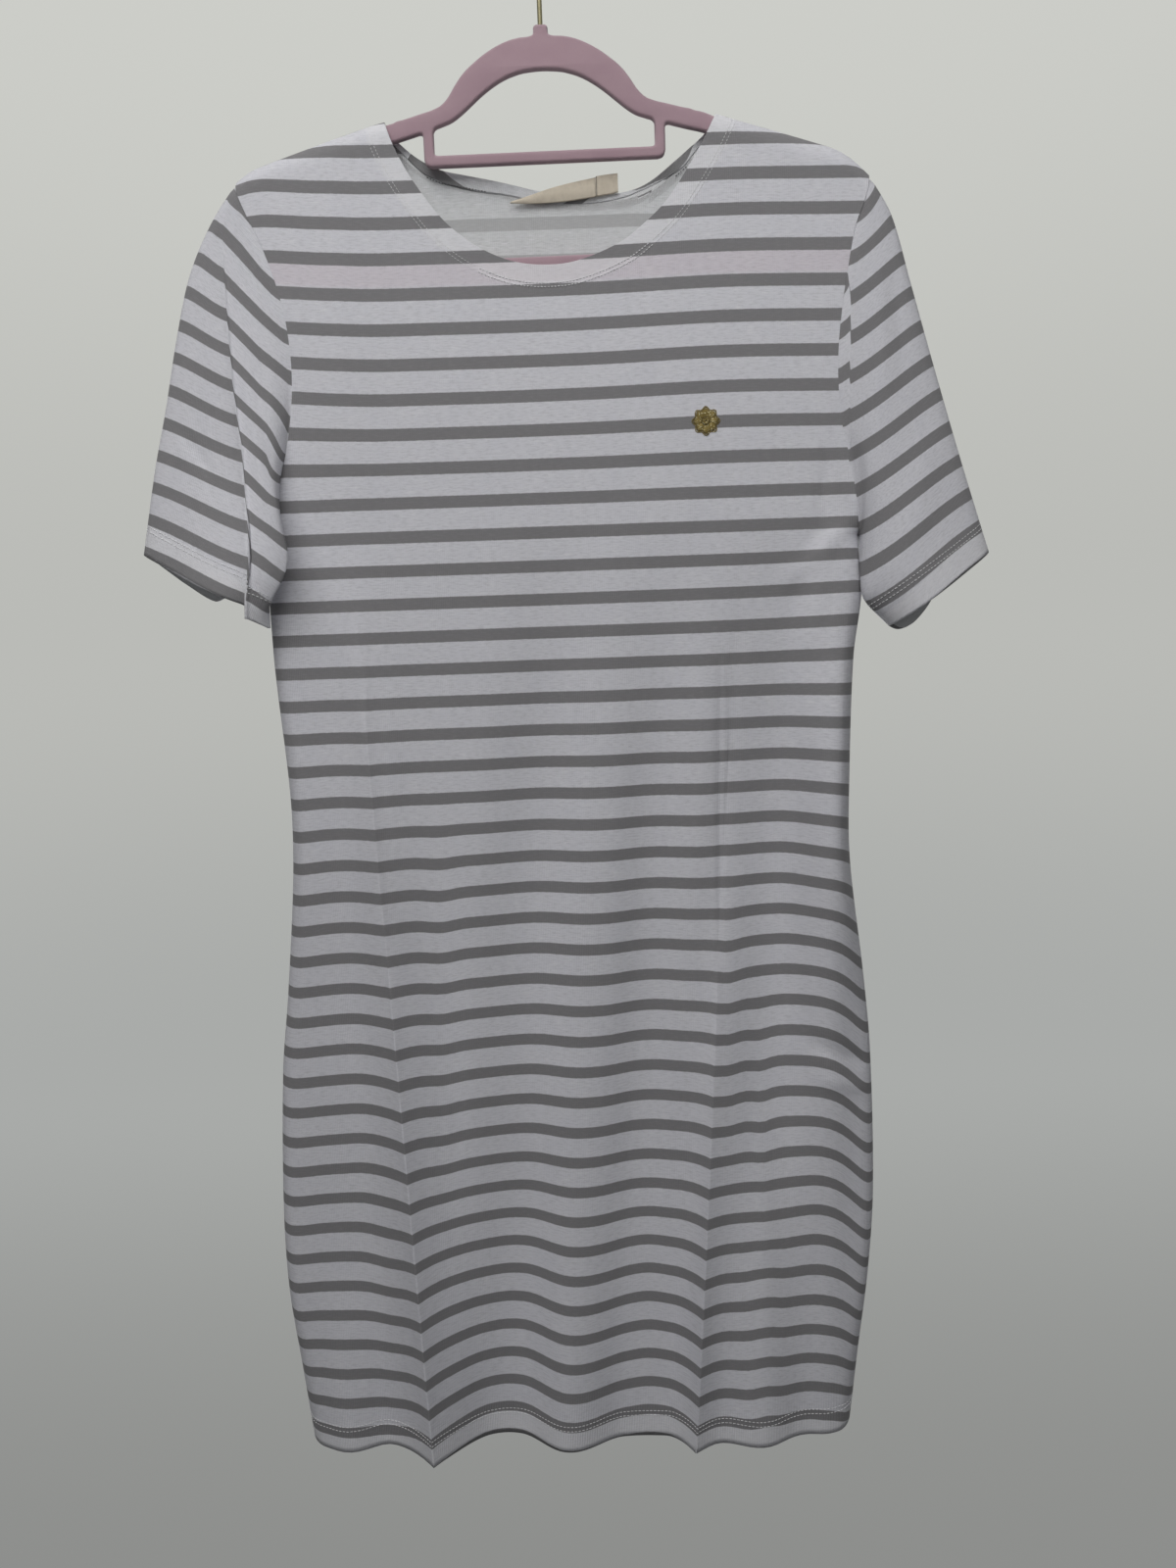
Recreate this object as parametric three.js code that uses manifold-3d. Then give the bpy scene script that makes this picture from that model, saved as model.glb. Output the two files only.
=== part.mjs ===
// A short-sleeved jersey tunic dress on a slim flocked hanger with a wire hook.
// Millimetres, +Z up, the front of the dress faces -Y, X runs to the viewer's right.
// The origin is the point inside the top of the hook that a rail or a nail bears on.
import * as THREE from 'three';
import { mergeVertices } from 'three/addons/utils/BufferGeometryUtils.js';
import Module from 'manifold-3d';

const wasm = await Module();
wasm.setup();

// ---------------------------------------------------------------- sizes
const CLOTH = 1.1; // jersey wall
const FACING = 1.0; // wall of the turned-in neck bands
const SEAM_GAP = 0.3; // two cut pieces where they meet
const LAYER_GAP = 0.6; // between a panel and what lies on it
const UNDERARM_Z = -412;
const NECK = { centreX: 4.5, halfWidth: 111, cornerS: 0.51 };
const FRONT_NECK = { bottomZ: -226, bendLeft: 0.7, bendRight: 0.8, facing: 15 };
const BACK_NECK = { bottomZ: -177.5, bendLeft: 0.86, bendRight: 0.62, facing: 11 };
const SIDE_ROUND = 22; // how far the side fold turns in from the side seam
const TOP_ROUND = 13; // how far the shoulder fold drops from the shoulder seam
const HEM = { middleZ: -1088, sideZ: -1084 };

// The line of the shoulder seams, the same on both sides of the hook: a row per point.
const SHOULDER = [
  { x: 0, z: -130 }, { x: 104, z: -130.2 }, { x: 113, z: -131.8 }, { x: 129, z: -136.6 },
  { x: 155, z: -144.4 }, { x: 183, z: -153 }, { x: 197, z: -158 }, { x: 207, z: -164.5 },
  { x: 218, z: -174.5 },
];

// The front armholes seen from the front: a row per height.
const ARMHOLE = [
  { z: -165, left: -208, right: 217.5 }, { z: -174, left: -207, right: 217.5 },
  { z: -192, left: -200, right: 213.5 }, { z: -209, left: -192.5, right: 207 },
  { z: -234, left: -184.5, right: 202 }, { z: -258, left: -179.5, right: 198 },
  { z: -285, left: -177.5, right: 195 }, { z: -308, left: -178.5, right: 194.5 },
  { z: -335, left: -183, right: 196.5 }, { z: -360, left: -190, right: 202 },
  { z: -386, left: -197, right: 206.5 }, { z: -412, left: -206.5, right: 209.5 },
];

// The body below the armholes: side seams, and how far each layer stands off the seam plane.
const BODY = [
  { z: -132, left: -208, right: 217, front: 9.5, back: 9.5 },
  { z: -225, left: -210, right: 215, front: 10.5, back: 10 },
  { z: -300, left: -207, right: 211, front: 12, back: 11 },
  { z: -412, left: -206.5, right: 209.5, front: 13, back: 12 },
  { z: -497, left: -206, right: 207, front: 13, back: 12 },
  { z: -583, left: -201, right: 203, front: 13, back: 12 },
  { z: -640, left: -203, right: 203, front: 13, back: 12 },
  { z: -730, left: -213, right: 213, front: 12.5, back: 13 },
  { z: -790, left: -221, right: 218, front: 13.5, back: 14 },
  { z: -899, left: -228, right: 220, front: 16, back: 15 },
  { z: -963, left: -228, right: 216, front: 17.5, back: 16 },
  { z: -1028, left: -222, right: 208, front: 18.5, back: 17 },
  { z: -1088, left: -216.5, right: 201, front: 19, back: 18 },
];

// Lengthwise folds: a row per fold, its crest at the waist and at the hem, its height toward
// the viewer at four levels, and its width on each side. A sharp one is a pressed crease.
const LEVELS = { chest: -400, waist: -610, hip: -790, thigh: -930, hem: -1070 };
const FRONT_FOLDS = [
  { name: 'left edge roll', waistX: -186, hemX: -184, chest: 0, waist: 5, hip: 3, thigh: 2, hem: 10, left: 32, right: 32, sharp: false },
  { name: 'left crease', waistX: -137, hemX: -119, chest: 2, waist: 14, hip: 20, thigh: 24, hem: 27, left: 44, right: 42, sharp: true },
  { name: 'left hollow', waistX: -24, hemX: -64, chest: 0, waist: -8, hip: -6, thigh: -9, hem: -11, left: 46, right: 44, sharp: false },
  { name: 'middle roll', waistX: 14, hemX: -14, chest: 0, waist: 2, hip: 6, thigh: 9, hem: 14, left: 40, right: 40, sharp: false },
  { name: 'right hollow', waistX: 62, hemX: 38, chest: 0, waist: -7, hip: -7, thigh: -4, hem: -2, left: 36, right: 34, sharp: false },
  { name: 'right crease', waistX: 112, hemX: 84, chest: 0, waist: -4, hip: 10, thigh: 18, hem: 20, left: 30, right: 44, sharp: true },
  { name: 'right flank', waistX: 148, hemX: 130, chest: 0, waist: -9, hip: -5, thigh: 8, hem: 18, left: 40, right: 42, sharp: false },
  { name: 'right edge roll', waistX: 186, hemX: 178, chest: 0, waist: 14, hip: 10, thigh: 6, hem: 8, left: 34, right: 30, sharp: false },
];
const BACK_FOLDS = [
  { name: 'left drape', waistX: -110, hemX: -120, chest: 0, waist: 3, hip: 6, thigh: 8, hem: 10, left: 70, right: 70, sharp: false },
  { name: 'middle hollow', waistX: 10, hemX: 0, chest: 0, waist: -3, hip: -4, thigh: -6, hem: -7, left: 60, right: 60, sharp: false },
  { name: 'right drape', waistX: 115, hemX: 110, chest: 0, waist: 3, hip: 6, thigh: 8, hem: 10, left: 70, right: 70, sharp: false },
];

// Each sleeve: a row per station from the armhole (t = 0) to the cuff (t = 1). The outer fold
// hangs from the shoulder, the inner fold from the underarm; half is the tube's half depth.
const RIGHT_SLEEVE = [
  { t: 0, outerX: -208, outerZ: -165.4, innerX: -206.9, innerY: 0, innerZ: -412, half: 12 },
  { t: 0.12, outerX: -227, outerZ: -190, innerX: -211, innerY: -9, innerZ: -415, half: 13 },
  { t: 0.28, outerX: -245, outerZ: -224, innerX: -210.5, innerY: -21, innerZ: -420, half: 13 },
  { t: 0.42, outerX: -257, outerZ: -264, innerX: -202, innerY: -28, innerZ: -426, half: 13.5 },
  { t: 0.6, outerX: -268, outerZ: -309, innerX: -192, innerY: -30, innerZ: -433, half: 14.5 },
  { t: 0.78, outerX: -279, outerZ: -351, innerX: -194, innerY: -30, innerZ: -445, half: 17 },
  { t: 1, outerX: -292, outerZ: -410, innerX: -206, innerY: -28, innerZ: -463, half: 19 },
];
const LEFT_SLEEVE = [
  { t: 0, outerX: 217.5, outerZ: -174, innerX: 209.9, innerY: 0, innerZ: -412, half: 12 },
  { t: 0.12, outerX: 233, outerZ: -200, innerX: 212, innerY: -4, innerZ: -416, half: 13 },
  { t: 0.28, outerX: 246, outerZ: -243, innerX: 211.5, innerY: -9, innerZ: -424, half: 14 },
  { t: 0.5, outerX: 263, outerZ: -301, innerX: 211, innerY: -13, innerZ: -438, half: 15 },
  { t: 0.75, outerX: 282, outerZ: -364, innerX: 216, innerY: -14, innerZ: -457, half: 18 },
  { t: 1, outerX: 302, outerZ: -427, innerX: 231, innerY: -12, innerZ: -475, half: 20 },
];

// Where the grid lines of a panel run: s is 0 at the middle and 1 at the side seam.
const HALF_COLUMNS = [
  0.1, 0.2, 0.3, 0.39, 0.46, 0.495, 0.506, 0.509, 0.51, 0.57, 0.64, 0.72, 0.8, 0.87, 0.925, 0.96, 0.982, 0.995, 1,
];
const CREASE_COLUMNS = { left: -0.64, right: 0.509 };
const BACK_COLUMNS = [0.14, 0.28, 0.4, 0.475, 0.499, 0.5075, 0.51, 0.62, 0.74, 0.86, 0.93, 0.97, 0.993, 1];
const TOP_ROWS = [0, 0.006, 0.018, 0.038, 0.07, 0.14, 0.25, 0.38, 0.52, 0.66, 0.79, 0.89, 0.95, 0.982, 1];

const HANGER = {
  thickness: 6, bevel: 1.2, tieTop: -149, tieBottom: -156.5, postIn: 75, postOut: 81,
  barTop: -217, barBottom: -231, armHeight: 13, tipX: 203,
};
const NUB = { radius: 6, topZ: -74, bottomZ: -92 };
const WIRE = { diameter: 3.3, loopRadius: 22, bottomZ: -83.4, bendZ: -57, hole: 3.9, holeZ: -84 };
const ORNAMENT = { x: 103.5, z: -333, radius: 9.6, petals: 8, wave: 0.9, height: 1 };
const LABEL = { leftX: -25, leftZ: -181.8, rightX: 35, topZ: -166.2, lowZ: -180.4, y: 5.6, thickness: 1 };
const TAB = { leftX: 36.2, rightX: 49, topZ: -165, lowZ: -178.6, thickness: 1 };

// ---------------------------------------------------------------- small maths
const lerp = THREE.MathUtils.lerp;
const clamp = THREE.MathUtils.clamp;

/** A smooth curve through one column of a table, read at a value of another. */
function along(rows, key, column) {
  return (value) => {
    const sign = rows[rows.length - 1][key] > rows[0][key] ? 1 : -1;
    let i = 0;
    while (i < rows.length - 2 && sign * rows[i + 1][key] < sign * value) i += 1;
    const [a, b] = [rows[i], rows[i + 1]];
    const before = rows[Math.max(i - 1, 0)];
    const after = rows[Math.min(i + 2, rows.length - 1)];
    const width = b[key] - a[key];
    const u = clamp((value - a[key]) / width, 0, 1);
    const slopeA = (b[column] - before[column]) / (b[key] - before[key]) * width;
    const slopeB = (after[column] - a[column]) / (after[key] - a[key]) * width;
    const u2 = u * u;
    const u3 = u2 * u;
    return (2 * u3 - 3 * u2 + 1) * a[column] + (u3 - 2 * u2 + u) * slopeA
      + (3 * u2 - 2 * u3) * b[column] + (u3 - u2) * slopeB;
  };
}

/** 0 at the edge, 1 from the given distance inward, with the slope of a quarter circle. */
function rounded(distance, radius) {
  const u = 1 - clamp(distance / radius, 0, 1);
  return Math.sqrt(Math.max(0, 1 - u * u));
}

const shoulderZ = along(SHOULDER, 'x', 'z');
const armholeLeft = along(ARMHOLE, 'z', 'left');
const armholeRight = along(ARMHOLE, 'z', 'right');
const bodyLeft = along(BODY, 'z', 'left');
const bodyRight = along(BODY, 'z', 'right');
const baseDepth = { '-1': along(BODY, 'z', 'front'), 1: along(BODY, 'z', 'back') };

/** Height of the neck edge of one panel at x. */
function neckZ(neck, x) {
  const u = clamp((x - NECK.centreX) / NECK.halfWidth, -1, 1);
  const cornerZ = shoulderZ(Math.abs(NECK.centreX + Math.sign(u || 1) * NECK.halfWidth));
  const bend = u < 0 ? neck.bendLeft : neck.bendRight;
  return lerp(cornerZ, neck.bottomZ, Math.pow(Math.max(0, 1 - u * u), bend));
}

/** Sum of the folds at x and z, toward the outside of the panel. */
function foldDepth(folds, x, z) {
  const names = Object.keys(LEVELS);
  let sum = 0;
  for (const fold of folds) {
    const down = (z - LEVELS.waist) / (LEVELS.hem - LEVELS.waist);
    const crest = lerp(fold.waistX, fold.hemX, Math.max(-0.3, down));
    const rows = names.map((name) => ({ z: LEVELS[name], height: fold[name] }));
    const height = along(rows, 'z', 'height')(z);
    const u = clamp((x < crest ? (crest - x) / fold.left : (x - crest) / fold.right), 0, 1);
    sum += height * (fold.sharp ? (1 - u) ** 2 : Math.cos(Math.PI * u / 2) ** 2);
  }
  return sum;
}

/** The outer face of one panel: side is -1 for the front and 1 for the back. */
function panelY(side, x, z) {
  const reach = z > UNDERARM_Z ? Infinity : Math.min(x - bodyLeft(z), bodyRight(z) - x);
  const nearArm = Math.min(x - bodyLeft(UNDERARM_Z), bodyRight(UNDERARM_Z) - x);
  const open = rounded(z - UNDERARM_Z, 46);
  const edge = z > UNDERARM_Z ? lerp(rounded(Math.max(nearArm, 0), SIDE_ROUND), 1, open) : rounded(reach, SIDE_ROUND);
  const top = rounded(shoulderZ(Math.abs(x)) - z, TOP_ROUND);
  const folds = foldDepth(side < 0 ? FRONT_FOLDS : BACK_FOLDS, x, z);
  return side * (SEAM_GAP / 2 + edge * top * (baseDepth[side](z) + folds));
}

// ---------------------------------------------------------------- walls
/** Unit normals of a grid of points; closed means that each row is a loop. */
function gridNormals(grid, closed) {
  const rows = grid.length;
  const columns = grid[0].length;
  return grid.map((row, i) => row.map((point, j) => {
    const up = grid[Math.max(i - 1, 0)][j];
    const down = grid[Math.min(i + 1, rows - 1)][j];
    const left = closed ? row[(j + columns - 1) % columns] : row[Math.max(j - 1, 0)];
    const right = closed ? row[(j + 1) % columns] : row[Math.min(j + 1, columns - 1)];
    const a = new THREE.Vector3().subVectors(down, up);
    const b = new THREE.Vector3().subVectors(right, left);
    return new THREE.Vector3().crossVectors(a, b).normalize();
  }));
}

/** Turns a geometry's faces outward. */
function faceOutward(geometry) {
  const p = geometry.getAttribute('position');
  const index = geometry.getIndex();
  const [a, b, c] = [new THREE.Vector3(), new THREE.Vector3(), new THREE.Vector3()];
  let volume = 0;
  for (let i = 0; i < index.count; i += 3) {
    a.fromBufferAttribute(p, index.getX(i));
    b.fromBufferAttribute(p, index.getX(i + 1));
    c.fromBufferAttribute(p, index.getX(i + 2));
    volume += a.dot(b.cross(c));
  }
  if (volume < 0) {
    for (let i = 0; i < index.count; i += 3) {
      const kept = index.getX(i);
      index.setX(i, index.getX(i + 1));
      index.setX(i + 1, kept);
    }
  }
  geometry.computeVertexNormals();
  return geometry;
}

/** A closed wall: the outer grid, the same grid moved in along the normals, and its rims. */
function wall(grid, normals, thickness, closed = false) {
  const rows = grid.length;
  const columns = grid[0].length;
  const positions = [];
  for (const depth of [0, thickness]) {
    grid.forEach((row, i) => row.forEach((point, j) => {
      const n = normals[i][j];
      positions.push(point.x - n.x * depth, point.y - n.y * depth, point.z - n.z * depth);
    }));
  }
  const inner = rows * columns;
  const at = (i, j) => i * columns + (j % columns);
  const faces = [];
  const quad = (a, b, c, d) => faces.push(a, b, c, a, c, d);
  const lastColumn = closed ? columns : columns - 1;
  for (let i = 0; i < rows - 1; i += 1) {
    for (let j = 0; j < lastColumn; j += 1) {
      quad(at(i, j), at(i + 1, j), at(i + 1, j + 1), at(i, j + 1));
      quad(inner + at(i, j), inner + at(i, j + 1), inner + at(i + 1, j + 1), inner + at(i + 1, j));
    }
  }
  for (let j = 0; j < lastColumn; j += 1) {
    quad(at(0, j), at(0, j + 1), inner + at(0, j + 1), inner + at(0, j));
    quad(at(rows - 1, j + 1), at(rows - 1, j), inner + at(rows - 1, j), inner + at(rows - 1, j + 1));
  }
  if (!closed) {
    for (let i = 0; i < rows - 1; i += 1) {
      quad(at(i + 1, 0), at(i, 0), inner + at(i, 0), inner + at(i + 1, 0));
      quad(at(i, columns - 1), at(i + 1, columns - 1), inner + at(i + 1, columns - 1), inner + at(i, columns - 1));
    }
  }
  const geometry = new THREE.BufferGeometry();
  geometry.setAttribute('position', new THREE.Float32BufferAttribute(positions, 3));
  geometry.setIndex(faces);
  return faceOutward(geometry);
}

/** Points normals to the outside: side -1 for the front half and 1 for the back half. */
function turnNormals(normals, test) {
  let sum = 0;
  normals.forEach((row, i) => row.forEach((n, j) => { sum += test(n, i, j); }));
  if (sum < 0) normals.forEach((row) => row.forEach((n) => n.negate()));
  return normals;
}

/** Keeps a rim inside its seam plane, so that it never reaches over the seam. */
function flatten(normal) {
  normal.y = 0;
  normal.normalize();
}

// ---------------------------------------------------------------- front and back
/** Where a grid line of the front runs, so that one line follows each pressed crease. */
function creasedX(s, z) {
  const even = lerp(bodyLeft(z), bodyRight(z), (s + 1) / 2);
  const down = Math.max(-0.3, (z - LEVELS.waist) / (LEVELS.hem - LEVELS.waist));
  const crests = FRONT_FOLDS.filter((fold) => fold.sharp).map((fold) => lerp(fold.waistX, fold.hemX, down));
  const middle = (bodyLeft(z) + bodyRight(z)) / 2;
  const knots = [
    { s: -1, x: bodyLeft(z) }, { s: CREASE_COLUMNS.left, x: crests[0] }, { s: 0, x: middle },
    { s: CREASE_COLUMNS.right, x: crests[1] }, { s: 1, x: bodyRight(z) },
  ];
  const i = Math.max(1, knots.findIndex((knot) => knot.s >= s));
  const [a, b] = [knots[i - 1], knots[i]];
  const led = lerp(a.x, b.x, (s - a.s) / (b.s - a.s));
  return lerp(even, led, THREE.MathUtils.smoothstep(UNDERARM_Z - z, 20, 160));
}

/** The outer grid of one panel, from its neck and shoulder seams to its hem. */
function panelGrid(side, neck, half, lowerRows) {
  const columns = [...half.map((s) => -s).reverse(), 0, ...half];
  const grid = [];
  const armLow = { left: armholeLeft(UNDERARM_Z), right: armholeRight(UNDERARM_Z) };
  for (const r of TOP_ROWS) {
    grid.push(columns.map((s) => {
      const size = Math.abs(s);
      const sign = s < 0 ? -1 : 1;
      const arm = s < 0 ? armholeLeft : armholeRight;
      const low = s < 0 ? armLow.left : armLow.right;
      const corner = NECK.centreX + sign * NECK.halfWidth;
      const tip = s < 0 ? ARMHOLE[0].left : ARMHOLE[0].right;
      const outward = clamp((size - NECK.cornerS) / (1 - NECK.cornerS), 0, 1);
      const topX = size <= NECK.cornerS
        ? NECK.centreX + NECK.halfWidth * s / NECK.cornerS : lerp(corner, tip, outward);
      const topZ = size < NECK.cornerS ? neckZ(neck, topX) : shoulderZ(Math.abs(topX));
      const z = lerp(topZ, UNDERARM_Z, r);
      const middle = (armLow.left + armLow.right) / 2;
      const lowX = middle + s * (armLow.right - armLow.left) / 2;
      const bow = arm(z) - lerp(tip, low, clamp((z - shoulderZ(Math.abs(tip))) / (UNDERARM_Z - shoulderZ(Math.abs(tip))), 0, 1));
      const x = lerp(topX, lowX, r) + bow * size ** 4;
      return new THREE.Vector3(x, panelY(side, x, z), z);
    }));
  }
  for (let k = 1; k <= lowerRows; k += 1) {
    grid.push(columns.map((s) => {
      const hemZ = lerp(HEM.middleZ, HEM.sideZ, s * s);
      const z = lerp(UNDERARM_Z, hemZ, k / lowerRows);
      const x = side < 0 ? creasedX(s, z) : lerp(bodyLeft(z), bodyRight(z), (s + 1) / 2);
      return new THREE.Vector3(x, panelY(side, x, z), z);
    }));
  }
  return { grid, columns };
}

function panelNormals(side, panel) {
  const normals = turnNormals(gridNormals(panel.grid, false), (n) => n.y * side);
  const last = panel.columns.length - 1;
  panel.columns.forEach((s, j) => {
    if (Math.abs(s) >= NECK.cornerS - 0.001) flatten(normals[0][j]);
  });
  for (let i = TOP_ROWS.length - 1; i < panel.grid.length; i += 1) {
    flatten(normals[i][0]);
    flatten(normals[i][last]);
  }
  return normals;
}

const front = panelGrid(-1, FRONT_NECK, HALF_COLUMNS, 20);
const back = panelGrid(1, BACK_NECK, BACK_COLUMNS, 13);
const frontNormals = panelNormals(-1, front);
const backNormals = panelNormals(1, back);

// ---------------------------------------------------------------- sleeves
/** One sleeve: an open tube from the armhole's own points to the cuff. */
function sleeve(stations, hand) {
  const column = (panel) => (hand < 0 ? 0 : panel.columns.length - 1);
  const ring = [];
  TOP_ROWS.forEach((r, i) => ring.push({ r, side: -1, p: front.grid[i][column(front)], n: frontNormals[i][column(front)] }));
  [...TOP_ROWS.keys()].reverse().forEach((i) => ring.push({
    r: TOP_ROWS[i], side: 1, p: back.grid[i][column(back)], n: backNormals[i][column(back)],
  }));
  const read = {};
  for (const key of ['outerX', 'outerZ', 'innerX', 'innerY', 'innerZ', 'half']) read[key] = along(stations, 't', key);
  const steps = 10;
  const grid = [];
  for (let k = 0; k <= steps; k += 1) {
    const t = (k / steps) ** 1.25;
    grid.push(ring.map(({ r, side, p }) => {
      const straightX = lerp(read.outerX(0), read.innerX(0), r);
      const straightZ = lerp(read.outerZ(0), read.innerZ(0), r);
      const keep = (1 - t) ** 2;
      const x = lerp(read.outerX(t), read.innerX(t), r) + (p.x - straightX) * keep;
      const z = lerp(read.outerZ(t), read.innerZ(t), r) + (p.z - straightZ) * keep;
      const lean = read.innerY(t) * THREE.MathUtils.smoothstep(r, 0.15, 0.84);
      const round = 2 * Math.sqrt(Math.max(0, r * (1 - r)));
      const y = lean + side * (SEAM_GAP / 2 + read.half(t) * round);
      const start = (1 - t) ** 6;
      return new THREE.Vector3(x + hand * SEAM_GAP * 1.2, lerp(y, p.y, start), z);
    }));
  }
  const centres = grid.map((row) => row.reduce((sum, q) => sum.add(q), new THREE.Vector3()).divideScalar(row.length));
  const normals = turnNormals(gridNormals(grid, true), (n, i, j) => n.dot(new THREE.Vector3().subVectors(grid[i][j], centres[i])));
  ring.forEach(({ n }, j) => {
    normals[0][j].set(-hand * Math.abs(n.x), n.y, n.z).normalize();
  });
  return wall(grid, normals, CLOTH, true);
}

// ---------------------------------------------------------------- what lies on a panel
/** A point of a panel's outer face and its unit normal. */
function panelPoint(side, x, z) {
  const step = 0.5;
  const at = (u, v) => new THREE.Vector3(u, panelY(side, u, v), v);
  const a = at(x + step, z).sub(at(x - step, z));
  const b = at(x, z + step).sub(at(x, z - step));
  const normal = a.cross(b).normalize();
  if (normal.y * side < 0) normal.negate();
  return { point: at(x, z), normal };
}

/** The turned-in band along one neck edge, under its panel. */
function neckBand(side, neck, segments) {
  const rows = [];
  const normals = [];
  const depth = CLOTH + LAYER_GAP;
  for (let k = 0; k <= segments; k += 1) {
    const hand = 2 * k / segments - 1;
    const bend = hand < 0 ? neck.bendLeft : neck.bendRight;
    const drop = (Math.cos(Math.PI * hand) + 1) / 2;
    const u = Math.sign(hand) * Math.sqrt(1 - Math.min(1, drop ** (1 / bend)));
    const x = NECK.centreX + NECK.halfWidth * u;
    const z = neckZ(neck, x);
    const ahead = neckZ(neck, x + 0.4) - neckZ(neck, x - 0.4);
    const outward = new THREE.Vector2(ahead, -0.8).normalize();
    const corner = Math.abs(u) > 0.999;
    const row = [];
    const rowNormals = [];
    for (const share of [0.03, 0.35, 0.68, 1]) {
      const reach = neck.facing * share;
      const px = corner ? x + Math.sign(u) * reach : x + outward.x * reach;
      const pz = corner ? shoulderZ(Math.abs(px)) : z + outward.y * reach;
      const { point, normal } = panelPoint(side, px, Math.min(pz, shoulderZ(Math.abs(px)) - 0.02));
      if (corner) flatten(normal);
      point.addScaledVector(normal, -depth);
      if (corner) point.y = side * SEAM_GAP / 2;
      row.push(point);
      rowNormals.push(normal);
    }
    rows.push(row);
    normals.push(rowNormals);
  }
  return wall(rows, normals, FACING);
}

/** A round ornament of satin-stitched petals, on the front panel's own points. */
function ornament() {
  const around = ORNAMENT.petals * 3;
  const grid = [];
  const normals = [];
  for (const share of [0.12, 0.55, 1]) {
    const row = [];
    const rowNormals = [];
    for (let k = 0; k < around; k += 1) {
      const angle = 2 * Math.PI * k / around;
      const radius = share * (ORNAMENT.radius - ORNAMENT.wave + ORNAMENT.wave * Math.cos(ORNAMENT.petals * angle));
      const spot = panelPoint(-1, ORNAMENT.x + radius * Math.cos(angle), ORNAMENT.z + radius * Math.sin(angle));
      row.push(spot.point.addScaledVector(spot.normal, LAYER_GAP + ORNAMENT.height));
      rowNormals.push(spot.normal);
    }
    grid.push(row);
    normals.push(rowNormals);
  }
  return wall(grid, normals, ORNAMENT.height, true);
}

// ---------------------------------------------------------------- labels
function plate(points, y, thickness) {
  const shape = new THREE.Shape(points.map(([x, z]) => new THREE.Vector2(x, z)));
  const geometry = new THREE.ExtrudeGeometry(shape, { depth: thickness, bevelEnabled: false, steps: 1 });
  geometry.rotateX(Math.PI / 2);
  geometry.translate(0, y + thickness, 0);
  return solidGeometry(geometry);
}

/** Merged, indexed, position only, with its faces outward. */
function solidGeometry(geometry) {
  const bare = geometry.index ? geometry.toNonIndexed() : geometry;
  bare.deleteAttribute('normal');
  bare.deleteAttribute('uv');
  const merged = mergeVertices(bare, 1e-3);
  const index = Array.from(merged.getIndex().array);
  const kept = [];
  for (let i = 0; i < index.length; i += 3) {
    const [a, b, c] = index.slice(i, i + 3);
    if (a !== b && b !== c && c !== a) kept.push(a, b, c);
  }
  merged.setIndex(kept);
  return faceOutward(merged);
}

// ---------------------------------------------------------------- hanger
const toManifold = (geometry) => new wasm.Manifold(new wasm.Mesh({
  numProp: 3,
  vertProperties: Float32Array.from(geometry.getAttribute('position').array),
  triVerts: Uint32Array.from(geometry.getIndex().array),
}));

function fromManifold(solid) {
  const mesh = solid.getMesh();
  const geometry = new THREE.BufferGeometry();
  geometry.setAttribute('position', new THREE.BufferAttribute(new Float32Array(mesh.vertProperties), 3));
  geometry.setIndex(new THREE.BufferAttribute(new Uint32Array(mesh.triVerts), 1));
  geometry.computeVertexNormals();
  return geometry;
}

/** The right half of an outline, then its mirror image. */
function mirrored(half) {
  return [...half, ...half.slice().reverse().map(([x, z]) => [-x, z])];
}

function roundCorner(x, z, radius, from, to, steps = 4) {
  const points = [];
  for (let k = 0; k <= steps; k += 1) {
    const angle = lerp(from, to, k / steps);
    points.push([x + radius * Math.cos(angle), z + radius * Math.sin(angle)]);
  }
  return points;
}

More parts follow.
